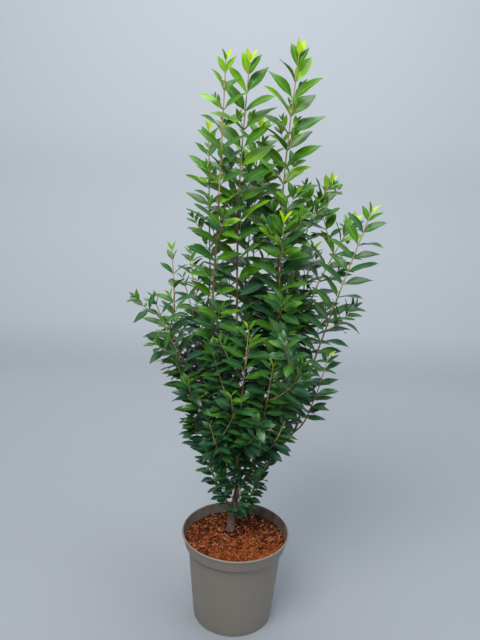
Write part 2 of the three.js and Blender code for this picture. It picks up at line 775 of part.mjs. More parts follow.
function growLeaves(mass, twig, key, solids) {
  const { line, begin, leaf, gap, spin, radiusAt } = twig;
  const buds = [];
  for (const { n, distance } of pairsOf(line, begin, gap)) {
    const [heading, first, second] = line.frame(distance);
    const share = distance / line.length;
    const grownShare = Math.min(1, LOW_LEAF.least + (1 - LOW_LEAF.least) * share * LOW_LEAF.reached);
    const size = leaf * LEAF.larger * (TIP_SIZES[n] ?? grownShare);
    const spread = atHeight(SPREAD, line.at(distance).z) - (CLOSED[n] ?? 0);
    const front = atHeight(FACING, line.at(distance).z);
    for (const half of [0, 1]) {
      const base = spin + 90 * n + 180 * half + SWAY * (chance(key, n, half) - 0.5);
      const rise = spread + SWAY * (chance(key, n, half, 1) - 0.5);
      let grown = false;
      for (const smaller of SMALLER) {
        for (const aim of AIMS) {
          if (grown) continue;
          const turn = THREE.MathUtils.degToRad(base + aim);
          const tilt = THREE.MathUtils.degToRad(rise);
          const out = fanned(turnedFrom(first, second, turn), heading, line.at(distance).z, n);
          const along = turnedFrom(heading, out, tilt);
          const flat = heading.clone().addScaledVector(UP, LEAF.lift).addScaledVector(FRONT, front);
          const sink = LEAF.sink * radiusAt(distance);
          const corners = leafPoints(line.at(distance), along, flat, size * smaller, sink);
          if (!hasRoom(mass, leafPlaces(corners), CROWN_SPARE.leaf)) continue;
          solids.push(solidFrom(indexed(corners, LEAF_FACES)));
          grown = true;
        }
      }
      buds.push({ n, half, distance, heading, first, second, turn: base });
    }
  }
  return buds;
}

// A side twig leaves a leaf's axil and bends upwards
function sideTwig({ distance, heading, first, second, turn }, line, length) {
  const around = THREE.MathUtils.degToRad(turn + TWIG_BEND.aside);
  const out = turnedFrom(first, second, around);
  const along = heading.clone().multiplyScalar(TWIG_BEND.ahead).addScaledVector(out, TWIG_BEND.out);
  const points = [0, 0.25, 0.5, 0.75, 1].map((t) =>
    line
      .at(distance)
      .addScaledVector(along, length * t)
      .addScaledVector(UP, length * TWIG_BEND.rise * t * t),
  );
  return Line.through(points);
}

function makeMass(name) {
  const stem = STEMS[name];
  const number = Object.keys(STEMS).indexOf(name);
  const begin = stem.bare ? stem.bareEnd + CLEAR : 0;
  const own = FORKS.filter((fork) => fork.stem === name);
  const leaders = [{ ...stem, begin, foot: begin }];
  leaders.push(...own.map((fork) => ({ ...fork, begin: BARE.fork, foot: 0 })));
  const solids = [];
  leaders.forEach((leader, l) => {
    const key = number * 10 + l;
    const thick = (d) => STEM.fuller * leader.radiusAt(d);
    const shape = { ...STEM, turn: THREE.MathUtils.degToRad(leader.spin + 45) };
    const whole = solidFrom(limb(leader.line, [leader.foot, leader.line.length], thick, shape));
    solids.push(stem.bare ? whole : largest(whole.subtract(grownTrunk)));
    const buds = growLeaves(name, { ...leader, begin: leader.begin + BARE.stem }, key, solids);
    for (const bud of buds) {
      const z = leader.line.at(bud.distance).z;
      const fall = 1 - (z - TWIG.low) / (TWIG.top - TWIG.low);
      const share = TWIG_LENGTHS.least + TWIG_LENGTHS.spread * chance(key, bud.n, bud.half, 5);
      const length = TWIG.reach * Math.min(1, fall) * share;
      const bare = chance(key, bud.n, bud.half, 6) > leader.bushy / LEAF.thin;
      if (bare || bud.n < 2 || length < TWIG.least) continue;
      const line = sideTwig(bud, leader.line, length);
      if (!hasRoom(name, line.points.slice(1), CROWN_SPARE.twig)) continue;
      const radiusAt = (d) => TWIG.radius + (TIP_RADIUS - TWIG.radius) * (d / line.length);
      const twig = { ...TWIG, line, begin: BARE.twig, leaf: TWIG.leaf * leader.leaf, radiusAt };
      const blades = [];
      growLeaves(name, twig, TWIG_KEY * (key + TWIG_KEY) + bud.n * 2 + bud.half, blades);
      if (blades.length < TWIG.blades) continue;
      const shape = { ...STEM, turn: THREE.MathUtils.degToRad(45) };
      const wood = limb(line, [0, line.length], (d) => STEM.fuller * radiusAt(d), shape);
      solids.push(solidFrom(wood), ...blades);
    }
  });
  return fuse(solids);
}

// The plant and its pot as one group of named meshes
const privet = new THREE.Group();

function add(name, solid, material) {
  const mesh = new THREE.Mesh(geometryFrom(solid), material);
  mesh.name = name;
  privet.add(mesh);
}

add("pot", makePot(), MATERIALS.pot);
add("compost", makeCompost(), MATERIALS.compost);
add("mulch", makeMulch(), MATERIALS.mulch);
const trunk = limb(trunkLine, [0, trunkLine.length], trunkRadius, { ...TRUNK, levelFoot: true });
add("trunk", solidFrom(trunk), MATERIALS.bark);
makeBoughs();
for (const [name, solid] of Object.entries(boughs)) {
  add(`bough_${name}`, solid, MATERIALS.bark);
}
for (const name of Object.keys(STEMS)) {
  add(`shoots_${name}`, makeMass(name), MATERIALS.leaf);
}

export default privet;
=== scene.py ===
# Potted privet: the looks of the shrub, its nursery pot and the bark mulch on it.
import math
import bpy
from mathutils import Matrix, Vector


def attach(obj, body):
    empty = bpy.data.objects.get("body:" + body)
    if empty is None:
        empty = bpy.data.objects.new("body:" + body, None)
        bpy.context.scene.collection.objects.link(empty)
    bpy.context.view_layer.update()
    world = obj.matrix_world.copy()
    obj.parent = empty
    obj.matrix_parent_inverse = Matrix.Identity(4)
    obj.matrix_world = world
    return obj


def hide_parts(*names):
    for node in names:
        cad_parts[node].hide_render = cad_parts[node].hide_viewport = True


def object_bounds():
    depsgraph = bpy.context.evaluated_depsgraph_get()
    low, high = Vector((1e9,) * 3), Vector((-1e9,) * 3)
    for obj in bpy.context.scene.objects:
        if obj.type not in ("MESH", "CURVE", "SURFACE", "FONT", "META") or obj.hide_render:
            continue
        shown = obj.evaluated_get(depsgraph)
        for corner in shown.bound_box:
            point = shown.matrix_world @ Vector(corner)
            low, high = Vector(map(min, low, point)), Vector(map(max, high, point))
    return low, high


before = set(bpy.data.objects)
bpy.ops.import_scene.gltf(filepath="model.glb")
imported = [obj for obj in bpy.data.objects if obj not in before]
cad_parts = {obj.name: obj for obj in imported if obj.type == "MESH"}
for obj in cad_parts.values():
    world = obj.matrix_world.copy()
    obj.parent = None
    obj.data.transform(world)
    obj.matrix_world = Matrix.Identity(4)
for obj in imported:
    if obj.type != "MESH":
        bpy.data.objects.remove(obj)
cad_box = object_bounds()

from types import SimpleNamespace as Rule

import bpy
import numpy as np
from mathutils import Matrix, Vector, noise

MM = 0.001
UP = np.array([0.0, 0.0, 1.0])
FRONT = np.array([0.0, -1.0, 0.0])

# The plant, in millimetres
CLEAR = 0.3
POT = Rule(height=233, rim=130, band=127.5, band_foot=122, band_height=33, shoulder=114, foot=95.7,
           foot_height=9, foot_step=1.6, wall=2, floor=5, raised=3, lip=4, sides=144)
LEDGE = POT.height - POT.band_height
DRAIN = Rule(count=8, radius=7, circle=72, low=-4.0, high=12.0, sides=24)
COMPOST_TOP = 196
MULCH = Rule(edge=206, crest=217, ripple=2.4, lumps=5, across=9, round=13, hollow=4, hollow_width=19,
             hollow_front=4, sides=160, rows=54)

TRUNK_WAY = [[-11, 28, 196.3], [-12, 27, 246], [-1, 25, 318], [4, 24, 355], [1, 22, 389]]
TRUNK = Rule(foot=9.5, top=6, flare=5, flare_height=16)

# Main stems: carrier, height where each leaves it, end of its bare bough, girth, leaf length,
# gap between leaf pairs, share of axils with a side twig, heading of the first pair, and the
# way as x, y and z of each point
STEMS = {
    "right": ("trunk", 322, 446, 4.8, 76, 40, 0.55, 100,
        [50, 20, 426, 66, 20, 704, 71, 20, 1115, 85, 20, 1323]),
    "centre": ("trunk", 389, 410, 4.2, 74, 43, 0.55, 45, [-17, 6, 740, -24, -9, 1072, -14, -25, 1302]),
    "left": ("trunk", 368, 424, 4.2, 72, 43, 0.55, 95,
        [-33, 10, 492, -69, -8, 707, -66, -27, 1000, -60, -45, 1303]),
    "right_inner": ("right", 396, 440, 3.4, 56, 34, 0.4, 60,
        [84, 34, 632, 122, 27, 733, 159, 30, 848, 225, 35, 988]),
    "right_outer": ("right", 414, 442, 3.4, 55, 31, 0.3, 10,
        [106, 0, 473, 144, -12, 627, 199, -20, 835, 251, -30, 1018]),
    "left_front": ("right", 432, 458, 3.4, 55, 31, 0.45, 35,
        [26, 0, 482, -69, -28, 600, -144, -57, 708, -193, -85, 832]),
    "low_left": ("trunk", 268, 292, 3, 50, 27, 0.4, 0,
        [-34, 9, 322, -60, 0, 382, -78, -10, 475, -95, -26, 545, -146, -60, 682]),
    "front": ("trunk", 340, 368, 3.4, 52, 30, 0.55, 15, [-8, -58, 500, -23, -140, 642]),
    "front_right": ("right", 376, 400, 3.2, 52, 30, 0.5, 50, [48, -62, 540, 62, -125, 706]),
    "back": ("trunk", 372, 398, 3.8, 62, 42, 0.45, 30, [6, 84, 520, 16, 120, 760, 10, 146, 1030]),
    "back_left": ("trunk", 338, 374, 3.6, 56, 36, 0.4, 70, [-52, 74, 460, -98, 122, 650, -140, 168, 880]),
    "back_right": ("trunk", 352, 384, 3.6, 56, 36, 0.4, 5, [58, 80, 470, 106, 124, 650, 158, 168, 900]),
    "foot": ("trunk", 252, 0, 1.9, 36, 19, 0, 45, [12, -6, 298, 34, -18, 345, 42, -20, 392]),
}
# Second leading shoots: stem, height, girth, leaf length, gap, share with twigs, heading, way
FORKS = [
    ("right", 690, 2, 64, 36, 0.3, 0, [70, -35, 893, 70, -60, 996]),
    ("centre", 600, 2.2, 66, 40, 0.3, 30, [-3, 45, 823, 7, 60, 1056, 15, 75, 1178]),
    ("left", 620, 2.2, 66, 40, 0.3, 65, [-82, 30, 869, -94, 40, 1168]),
    ("right_inner", 600, 2.2, 56, 34, 0.3, 80, [86, 40, 700, 116, 42, 904, 137, 48, 994, 172, 55, 1068]),
    ("right_outer", 500, 2, 50, 29, 0.3, 40, [160, -48, 600, 182, -70, 712]),
    ("left_front", 700, 1.8, 54, 33, 0.2, 5, [-152, -48, 807, -160, -38, 924]),
    ("left_front", 600, 1.9, 50, 31, 0.3, 50, [-99, -16, 722, -139, 0, 856]),
    ("front", 500, 2.2, 54, 32, 0.4, 60, [0, -92, 620, 8, -118, 780]),
    ("front_right", 540, 1.9, 50, 29, 0.3, 20, [96, -84, 620, 124, -98, 700]),
    ("low_left", 400, 1.6, 46, 24, 0, 30, [-95, 10, 455, -112, 20, 520]),
    ("front", 420, 1.7, 44, 26, 0, 10, [-40, -84, 480, -66, -112, 560]),
    ("front_right", 430, 1.8, 46, 26, 0, 40, [70, -66, 490, 98, -76, 560]),
    ("back_right", 430, 1.8, 47, 27, 0, 20, [95, 60, 480, 120, 62, 560]),
    ("back", 540, 2.2, 54, 32, 0.4, 10, [-26, 122, 700, -48, 160, 880]),
    ("back", 560, 2.1, 54, 32, 0.4, 55, [62, 128, 720, 78, 170, 900]),
    ("back_left", 480, 2, 52, 30, 0.4, 25, [-118, 74, 620, -176, 92, 790]),
    ("back_right", 490, 2, 52, 30, 0.4, 75, [132, 76, 610, 190, 96, 770]),
    ("foot", 272, 1.4, 34, 18, 0, 20, [-28, -6, 326, -36, -14, 372]),
    ("foot", 282, 1.4, 36, 18, 0, 70, [6, -34, 338, 2, -44, 390]),
    ("foot", 300, 1.4, 36, 18, 0, 10, [42, 6, 346, 56, 12, 388]),
    ("foot", 318, 1.4, 40, 20, 0, 35, [60, 18, 372, 80, 22, 424]),
    ("foot", 330, 1.4, 40, 20, 0, 50, [-20, -44, 392, -28, -66, 456]),
    ("foot", 345, 1.4, 42, 21, 0, 0, [52, -36, 404, 74, -50, 456]),
]
STEM_KEYS = ("carrier", "from", "bare", "girth", "leaf", "gap", "bushy", "spin")
FORK_KEYS = ("stem", "from", "girth", "leaf", "gap", "bushy", "spin")
STEMS = {name: dict(zip(STEM_KEYS, row), way=np.reshape(row[-1], (-1, 3))) for name, row in STEMS.items()}
FORKS = [dict(zip(FORK_KEYS, row), way=np.reshape(row[-1], (-1, 3))) for row in FORKS]

# Stems: radius at the tip, how early they get thin, a second leader's first step off its stem, bare
# lengths, how far a leader is hidden in its bough, and the share of it that is brown
TIP_RADIUS = 1
TAPER = 0.8
KNEE = Rule(out=13, up=13)
BARE = Rule(fork=25, stem=14, twig=20)
LEADER = Rule(hidden=6, green=0.72)
# Side twigs, where the solids have them
TWIG = Rule(reach=150, top=930, low=400, least=62, short=0.6, varied=0.7, radius=1.5, tip=0.8, green=0.4,
            leaf=0.95, gap=23, vigour=0.35, sway=16, draw=(), free_from=2, room=2, keys=5000)
TWIG_BEND = Rule(ahead=0.62, out=0.78, rise=0.45, aside=12)
# Finer twigs in the axils: their share of all axils, where they are more and fewer, length and leaves
AXIL = Rule(share=0.16, inner=0.5, least=0.3, back=0.5, fewer=0.4, fewer_over=(480, 600), top=0.2,
            top_from=(800, 1000), top_until=(1250, 1200), low=(1180, 820), middle=(5, 10), inside=(190, 70),
            length=24, longer=56, short=0.6, varied=0.8, radius=1.1, tip=0.6, green=0.2, bare=0.25, leaf=0.5,
            larger=0.36, gap=26, closer=6, sway=30, draw=(12,), free_from=3, room=1, keys=9000)
# Leaf pairs: how far the first is from the tip, the gap's share where they stand closest, the first
# gaps, and how that share and the leaves' length change: by how much, between which heights
PAIRS = Rule(back=1.5, close=0.52, bare_axils=2)
FIRST_GAPS = [0.6, 0.9, 0.95]
CLOSE_OVER = [(-1, 500, 900), (0.28, 900, 1100)]
TIP_SIZES = [0.42, 0.62, 0.82, 0.95]
LEAF_FOOT = 0.75
LEAF_OVER = [(0.15, 360, 520), (0.17, 600, 750), (-0.12, 1120, 1250)]
LOW_LEAF = Rule(least=0.75, reached=1.6)
LEFT_LEAF = Rule(less=0.25, aside=(30, 70), over=(650, 800))
LEAF_VARIED = 0.2
# How the leaves stand: angle from the stem, closed at the tip, turned to the front, fanned to the
# sides, swayed by chance, and turned out of the way of something else
SPREAD = Rule(low=68, high=48, start=450, end=1150, closer=4)
CLOSED = [28, 22, 11]
FACING = Rule(low=0.28, high=0.65, start=780, end=1120, up=0.5)
FAN = Rule(low=0.7, high=0.62, start=750, end=1100)
SWAY = 16
AIMS = [0, 20, -20, 40, -40]
# The solids have fewer leaf pairs by this factor
CAD_THIN = 1.5

# The crown's outline: height and half-width at its foot, and where its middle is
CROWN = [[250, 40], [316, 54], [374, 60], [421, 80], [450, 106], [500, 136], [563, 162], [650, 194],
         [705, 230], [780, 264]]
CROWN_MIDDLE = Rule(least=-14, low=430, high=520, back=12)
# The stretch of trunk that stays in sight from the front
SIGHT = Rule(low=284, high=334, half=12, depth=22, slope=0.6)
TRUNK_HEIGHTS = [point[2] for point in TRUNK_WAY]
TRUNK_PLACES = [point[0] for point in TRUNK_WAY]
# Room kept to other stems, limbs, the pot and the crown's outline, and how far a few leaves stray
ROOM = Rule(other=0.6, limb=2, limbs_end=560, mouth=100, mulch=6, rim=2, reach=4, twig=22,
            leaf=-20, stray=28)
PROBES = Rule(along=[0.3, 0.6, 0.95], dip=0.25)

HASH = Rule(seed=0x9E3779B9, first=0x85EBCA6B, second=0xC2B2AE35, mask=0xFFFFFFFF)


def chance(*keys):
    """A fixed number from 0 to 1 for whole numbers, of which the last tells one use from another."""
    h = HASH.seed
    for key in keys:
        h = ((h ^ (key + 1)) * HASH.first) & HASH.mask
        h ^= h >> 13
        h = (h * HASH.second) & HASH.mask
        h ^= h >> 16
    return h / (HASH.mask + 1)


def height_share(z, low, high):
    """How far z has come from low to high, from 0 to 1."""
    return min(1, max(0, (z - low) / (high - low)))


def over_height(z, value, changes):
    """A value with each change that is made between two heights."""
    for change, low, high in changes:
        value += change * height_share(z, low, high)
    return value


def eased(rule, z):
    """A rule's value at a height, between its low and its high one."""
    return rule.low + (rule.high - rule.low) * height_share(z, rule.start, rule.end)


def listed(values, n, rest):
    return values[n] if n < len(values) else rest


def unit(v):
    return v / np.linalg.norm(v)


def sideways(heading, near):
    """Two directions square to a heading, the first as near as can be to a given one."""
    first = unit(near - heading * np.dot(near, heading))
    return first, np.cross(heading, first)


class Line:
    """A stem's middle line, with a direction and two square to it at any distance."""

    LOOK = 4  # how far ahead and back its direction is taken

    def __init__(self, points):
        self.points = np.asarray(points, float)
        self.run = np.concatenate([[0], np.cumsum(np.linalg.norm(np.diff(self.points, axis=0), axis=1))])
        self.length = self.run[-1]
        side = np.array([1.0, 0, 0]) if abs(self.heading(0)[2]) > 0.7 else UP
        self.sides = []
        for distance in self.run:
            side = sideways(self.heading(distance), side)[0]
            self.sides.append(side)
        self.sides = np.array(self.sides)

    @staticmethod
    def rising(way, samples=60):
        """A smooth line through points, worked out over its height."""
        way = np.asarray(way, float)
        rise = np.diff(way[:, 2])
        slope = np.diff(way[:, :2], axis=0) / rise[:, None]
        before = np.maximum(np.arange(len(way)) - 1, 0)
        after = np.minimum(np.arange(len(way)), len(rise) - 1)
        weight = rise[before] + rise[after]
        lean = (slope[before] * rise[after][:, None] + slope[after] * rise[before][:, None]) / weight[:, None]
        z = np.linspace(way[0, 2], way[-1, 2], samples + 1)
        i = np.clip(np.searchsorted(way[:, 2], z, side="left") - 1, 0, len(rise) - 1)
        t = ((z - way[i, 2]) / rise[i])[:, None]
        hold = way[i, :2] * (2 * t**3 - 3 * t**2 + 1) + way[i + 1, :2] * (3 * t**2 - 2 * t**3)
        turn = lean[i] * (t**3 - 2 * t**2 + t) + lean[i + 1] * (t**3 - t**2)
        return Line(np.column_stack([hold + turn * rise[i][:, None], z]))

    def at(self, distance):
        return np.array([np.interp(distance, self.run, self.points[:, c]) for c in range(3)]).T

    def heading(self, distance):
        step = min(self.LOOK, self.length / 4)
        low = max(0, min(distance - step, self.length - 2 * step))
        return unit(self.at(low + 2 * step) - self.at(low))

    def frame(self, distance):
        heading = self.heading(distance)
        near = np.array([np.interp(distance, self.run, self.sides[:, c]) for c in range(3)])
        return (heading, *sideways(heading, near))

    def reaches(self, z):
        return float(np.interp(z, self.points[:, 2], self.run))

    def from_height(self, z):
        return self.at(self.reaches(z))


trunk_line = Line.rising(TRUNK_WAY)


def trunk_radius(distance):
    taper = TRUNK.foot + (TRUNK.top - TRUNK.foot) * distance / trunk_line.length
    return taper + TRUNK.flare * np.exp(-distance / TRUNK.flare_height)


def stem_radius(girth, line):
    return lambda d: girth + (TIP_RADIUS - girth) * np.minimum(1, d / line.length) ** TAPER


limbs = {"trunk": dict(line=trunk_line, radius=trunk_radius, bare_end=trunk_line.length)}
for name, stem in STEMS.items():
    start = limbs[stem["carrier"]]["line"].from_height(stem["from"])
    stem["line"] = Line.rising([start, *stem["way"]])
    stem["radius"] = stem_radius(stem["girth"], stem["line"])
    stem["bare_end"] = stem["line"].reaches(stem["bare"]) if stem["bare"] else 0
    limbs[name] = stem
for fork in FORKS:
    start = STEMS[fork["stem"]]["line"].from_height(fork["from"])
    knee = fork["way"][0] - start
    knee[2] = 0
    knee = knee / np.linalg.norm(knee) * KNEE.out
    knee[2] = KNEE.up
    fork["line"] = Line.rising([start, start + knee, *fork["way"]])


# Room for leaves and twigs
AXIS_STEP, LIMB_STEP = 45, 12


def axis_of(line, begin):
    count = max(2, round((line.length - begin) / AXIS_STEP))
    return line.at(begin + (line.length - begin) * np.arange(count + 1) / count)


axes = [(name, axis_of(stem["line"], stem["bare_end"])) for name, stem in STEMS.items()]
axes += [(fork["stem"], axis_of(fork["line"], 0)) for fork in FORKS]
bare_limbs = []
for limb in limbs.values():
    if limb["bare_end"]:
        count = round(limb["bare_end"] / LIMB_STEP)
        along = limb["bare_end"] * np.arange(count + 1) / count
        bare_limbs.append((limb["line"].at(along), float(np.max(limb["radius"](along)))))


def distance_to(points, places):
    """How far each place is from a line of points."""
    a, b = points[:-1], points[1:]
    ab = b - a
    t = np.einsum("psc,sc->ps", places[:, None] - a[None], ab) / np.einsum("sc,sc->s", ab, ab)
    near = a[None] + np.clip(t, 0, 1)[..., None] * ab[None]
    return np.linalg.norm(places[:, None] - near, axis=-1).min(axis=1)


def in_own_space(mass, places):
    """Whether points are nearer to their own mass's stems than to any other."""
    own = np.full(len(places), np.inf)
    other = own.copy()
    for name, points in axes:
        nearest = own if name == mass else other
        np.minimum(nearest, distance_to(points, places), out=nearest)
    return bool((own + ROOM.other < other).all())


def clear_of_limbs(places, gap=ROOM.limb):
    if places[:, 2].min() > ROOM.limbs_end:
        return True
    return all((distance_to(points, places) > widest + gap).all() for points, widest in bare_limbs)


def above_pot(places):
    x, y, z = places.T
    in_mouth = (z > MULCH.crest + ROOM.mulch) & (np.hypot(x, y) < ROOM.mouth)
    return bool((in_mouth | (z > POT.height + ROOM.rim)).all())


def inside_crown(places, spare):
    """Whether points keep within the crown's outline, which is narrow at its foot."""
    x, y, z = places.T
    heights, widths = np.array(CROWN).T
    middle = np.interp(z, [CROWN_MIDDLE.low, CROWN_MIDDLE.high], [CROWN_MIDDLE.least, 0])
    out = np.hypot(x - middle, y - CROWN_MIDDLE.back)
    return bool(((out < np.interp(z, heights, widths) - spare) | (z > heights[-1])).all())


def within_reach(places):
    """Whether points keep within the solids' own reach."""
    low, high = np.array(cad_box) / MM
    return bool((places > low - ROOM.reach).all() and (places < high + ROOM.reach).all())


def before_trunk(places):
    """Whether any point would hide the stretch of trunk that is in sight from the front."""
    x, y, z = places.T
    hidden = z - SIGHT.slope * (SIGHT.depth - y)
    beside = np.abs(x - np.interp(hidden, TRUNK_HEIGHTS, TRUNK_PLACES)) < SIGHT.half
    return bool((beside & (y < SIGHT.depth) & (hidden > SIGHT.low) & (hidden < SIGHT.high)).any())


# Growth of leaves and twigs
leaves = {name: [] for name in STEMS}
twigs = {name: [] for name in STEMS}


def pairs_of(line, begin, gap, close=1):
    """Numbers and distances of the leaf pairs, from a stem's tip back to its bare part."""
    distance = line.length - PAIRS.back
    n = 0
    while distance > begin:
        yield n, distance
        short = 1 - (1 - close) * over_height(line.at(distance)[2], 1, CLOSE_OVER)
        distance -= gap * short * listed(FIRST_GAPS, n, 1)
        n += 1


def fanned(out, heading, z, n):
    """A leaf's direction from its stem, turned towards the plant's left or right side."""
    turned = out + eased(FAN, z) * out[1] * np.array([1 - 2 * (n % 2), -1, 0])
    return unit(turned - turned.dot(heading) * heading)


def grow_leaves(mass, line, girth, begin, leaf, gap, spin, key, vigour):
    """Leaf pairs down a twig, each pair square to the last. Vigour from 0 to 1 makes the tip paler."""
    radius = stem_radius(girth, line)
    for n, distance in pairs_of(line, begin, gap, PAIRS.close):
        heading, first, second = line.frame(distance)
        foot = line.at(distance)
        z = foot[2]
        grown = LOW_LEAF.least + (1 - LOW_LEAF.least) * distance / line.length * LOW_LEAF.reached
        size = leaf * listed(TIP_SIZES, n, min(1, grown)) * over_height(z, LEAF_FOOT, LEAF_OVER)
        left = height_share(-foot[0], *LEFT_LEAF.aside) * height_share(z, *LEFT_LEAF.over)
        size *= 1 - LEFT_LEAF.less * left
        facing = FACING.up * UP
        front = eased(FACING, z) * FRONT
        stray = ROOM.leaf - ROOM.stray * chance(key, n, 5) ** 3
        for half in (0, 1):
            base = spin + 90 * n + 180 * half + SWAY * (chance(key, n, half) - 0.5)
            tilt = eased(SPREAD, z) - SPREAD.closer - listed(CLOSED, n, 0)
            rise = math.radians(tilt + SWAY * (chance(key, n, half, 1) - 0.5))
            length = size * (1 + LEAF_VARIED * chance(key, n, half, 2))
            for aim in AIMS:
                turn = math.radians(base + aim)
                out = fanned(first * math.cos(turn) + second * math.sin(turn), heading, z, n)
                along = heading * math.cos(rise) + out * math.sin(rise)
                face = sideways(along, heading + facing + front)[0]
                root = foot + out * 0.6 * radius(distance)
                places = root + np.outer(PROBES.along, (along - PROBES.dip * face) * length)
                free = above_pot(places) and clear_of_limbs(places) and not before_trunk(places)
                if free and inside_crown(places, stray) and within_reach(places):
                    leaves[mass].append(dict(root=root, along=along, face=face, length=length, n=n,
                                             vigour=vigour, key=(key, n, half)))
                    break


def side_line(line, distance, spin, length):
    """A side twig leaves a leaf's axil and bends upwards."""
    heading, first, second = line.frame(distance)
    around = math.radians(spin + TWIG_BEND.aside)
    out = first * math.cos(around) + second * math.sin(around)
    along = heading * TWIG_BEND.ahead + out * TWIG_BEND.out
    t = np.linspace(0, 1, 9)[:, None]
    return Line(line.at(distance) + along * length * t + UP * length * TWIG_BEND.rise * t * t)


def add_twig(mass, line, begin, girth, tip, green):
    twigs[mass].append(dict(line=line, begin=begin, girth=girth, tip=tip, green=green))


def axil_twig(mass, leader, rule, place, length, bare, leaf, gap, vigour):
    """A leafy twig in the axil of a leader's leaf, where there is room for it."""
    key, n, half, distance = place
    sway = rule.sway * (chance(key, n, half, *rule.draw) - 0.5)
    twig = side_line(leader["line"], distance, leader["spin"] + 90 * n + 180 * half + sway, length)
    ahead = twig.points[rule.free_from::2]
    if (above_pot(ahead) and clear_of_limbs(ahead, rule.room) and in_own_space(mass, ahead)
            and inside_crown(ahead, ROOM.twig)):
        add_twig(mass, twig, 0, rule.radius, rule.tip, rule.green)
        grow_leaves(mass, twig, rule.radius, bare, leaf * leader["leaf"], gap, 90,
                    rule.keys + key * 100 + n * 2 + half, vigour)


def side_twigs(mass, leader, key, vigour):
    """The side twigs that the solids have, at the same places."""
    for n, distance in pairs_of(leader["line"], leader["begin"], leader["gap"] * CAD_THIN):
        fall = 1 - (leader["line"].at(distance)[2] - TWIG.low) / (TWIG.top - TWIG.low)
        for half in (0, 1):
            length = TWIG.reach * min(1, fall) * (TWIG.short + TWIG.varied * chance(key, n, half, 5))
            bare = chance(key, n, half, 6) > leader["bushy"] / CAD_THIN
            if not bare and n >= PAIRS.bare_axils and length >= TWIG.least:
                axil_twig(mass, leader, TWIG, (key, n, half, distance), length, BARE.twig, TWIG.leaf,
                          TWIG.gap, TWIG.vigour * vigour)


def fine_twigs(mass, leader, key):
    """Finer twigs in the axils, which fill the inside of the crown."""
    for n, distance in pairs_of(leader["line"], leader["begin"], leader["gap"], PAIRS.close):
        x, y, z = leader["line"].at(distance)
        low = height_share(z, *AXIL.low)
        inner = height_share(math.hypot(x - AXIL.middle[0], y - AXIL.middle[1]), *AXIL.inside)
        share = AXIL.share + AXIL.inner * max(low, AXIL.least) * inner
        share *= AXIL.back if mass.startswith("back") else 1
        share *= 1 - AXIL.fewer * height_share(z, *AXIL.fewer_over)
        share += AXIL.top * height_share(z, *AXIL.top_from) * height_share(z, *AXIL.top_until)
        for half in (0, 1):
            if n < PAIRS.bare_axils or chance(key, n, half, 11) > share:
                continue
            length = AXIL.length + AXIL.longer * low
            length *= AXIL.short + AXIL.varied * chance(key, n, half, 13)
            axil_twig(mass, leader, AXIL, (key, n, half, distance), length, AXIL.bare * length,
                      AXIL.leaf + AXIL.larger * low, AXIL.gap - AXIL.closer * low, 0)


VIGOUR_OVER = (560, 1150)
for number, (name, stem) in enumerate(STEMS.items()):
    hidden = max(0, stem["bare_end"] - LEADER.hidden)
    leaders = [dict(stem, begin=stem["bare_end"] + CLEAR + BARE.stem, hidden=hidden)]
    leaders += [dict(fork, begin=BARE.fork + BARE.stem, hidden=0) for fork in FORKS if fork["stem"] == name]
    for index, leader in enumerate(leaders):
        key = number * 10 + index
        add_twig(name, leader["line"], leader["hidden"], leader["girth"], TIP_RADIUS, LEADER.green)
        vigour = height_share(leader["line"].points[-1, 2], *VIGOUR_OVER)
        sizes = [leader[size] for size in ("line", "girth", "begin", "leaf", "gap", "spin")]
        grow_leaves(name, *sizes, key, vigour)
        side_twigs(name, leader, key, vigour)
        fine_twigs(name, leader, key)


# Meshes
def mesh_object(name, points, faces, materials, face_material=None, uv=None, smooth=True):
    """An object from points in millimetres and a list of arrays of triangles or quads."""
    mesh = bpy.data.meshes.new(name)
    counts = np.concatenate([np.full(len(f), f.shape[1]) for f in faces])
    loops = np.concatenate([f.ravel() for f in faces]).astype(np.int32)
    mesh.vertices.add(len(points))
    mesh.vertices.foreach_set("co", (np.asarray(points) * MM).astype(np.float32).ravel())
    mesh.loops.add(len(loops))
    mesh.loops.foreach_set("vertex_index", loops)
    mesh.polygons.add(len(counts))
    mesh.polygons.foreach_set("loop_start", np.concatenate([[0], np.cumsum(counts)[:-1]]).astype(np.int32))
    for material in materials:
        mesh.materials.append(material)
    if face_material is not None:
        mesh.polygons.foreach_set("material_index", np.asarray(face_material, np.int32))
    if uv is not None:
        layer = mesh.uv_layers.new(name="UVMap")
        layer.data.foreach_set("uv", np.asarray(uv, np.float32)[loops].ravel())
    mesh.update(calc_edges=True)
    mesh.validate()
    mesh.polygons.foreach_set("use_smooth", np.full(len(mesh.polygons), smooth))
    thing = bpy.data.objects.new(name, mesh)
    bpy.context.scene.collection.objects.link(thing)
    return thing


def joined(parts):
    """Points and faces of several meshes, each of points, quads and triangles, as one."""
    points, quads, tris = zip(*parts)
    starts = np.cumsum([0, *map(len, points[:-1])])
    faces = [np.concatenate([f + start for f, start in zip(kind, starts)]) for kind in (quads, tris)]
    return np.concatenate(points), faces


def lofted(rings, first, last):
    """Points, quads and triangles of a skin over rings of points, closed by a point at either end."""
    sides, last_ring = len(rings[0]), (len(rings) - 1) * len(rings[0])
    i = np.arange(sides)
    j = (i + 1) % sides
    quads = [np.column_stack([i, j, sides + j, sides + i]) + r * sides for r in range(len(rings) - 1)]
    tips = np.full((2, sides), last_ring + sides) + [[0], [1]]
    tris = [np.column_stack([tips[0], j, i]), np.column_stack([tips[1], last_ring + i, last_ring + j])]
    return np.concatenate([*rings, [first, last]]), np.concatenate(quads), np.concatenate(tris)


def with_modifiers(thing):
    """The object's mesh as its modifiers leave it, in place of its own."""
    mesh = bpy.data.meshes.new_from_object(thing.evaluated_get(bpy.context.evaluated_depsgraph_get()))
    thing.modifiers.clear()
    thing.data = mesh
    return mesh


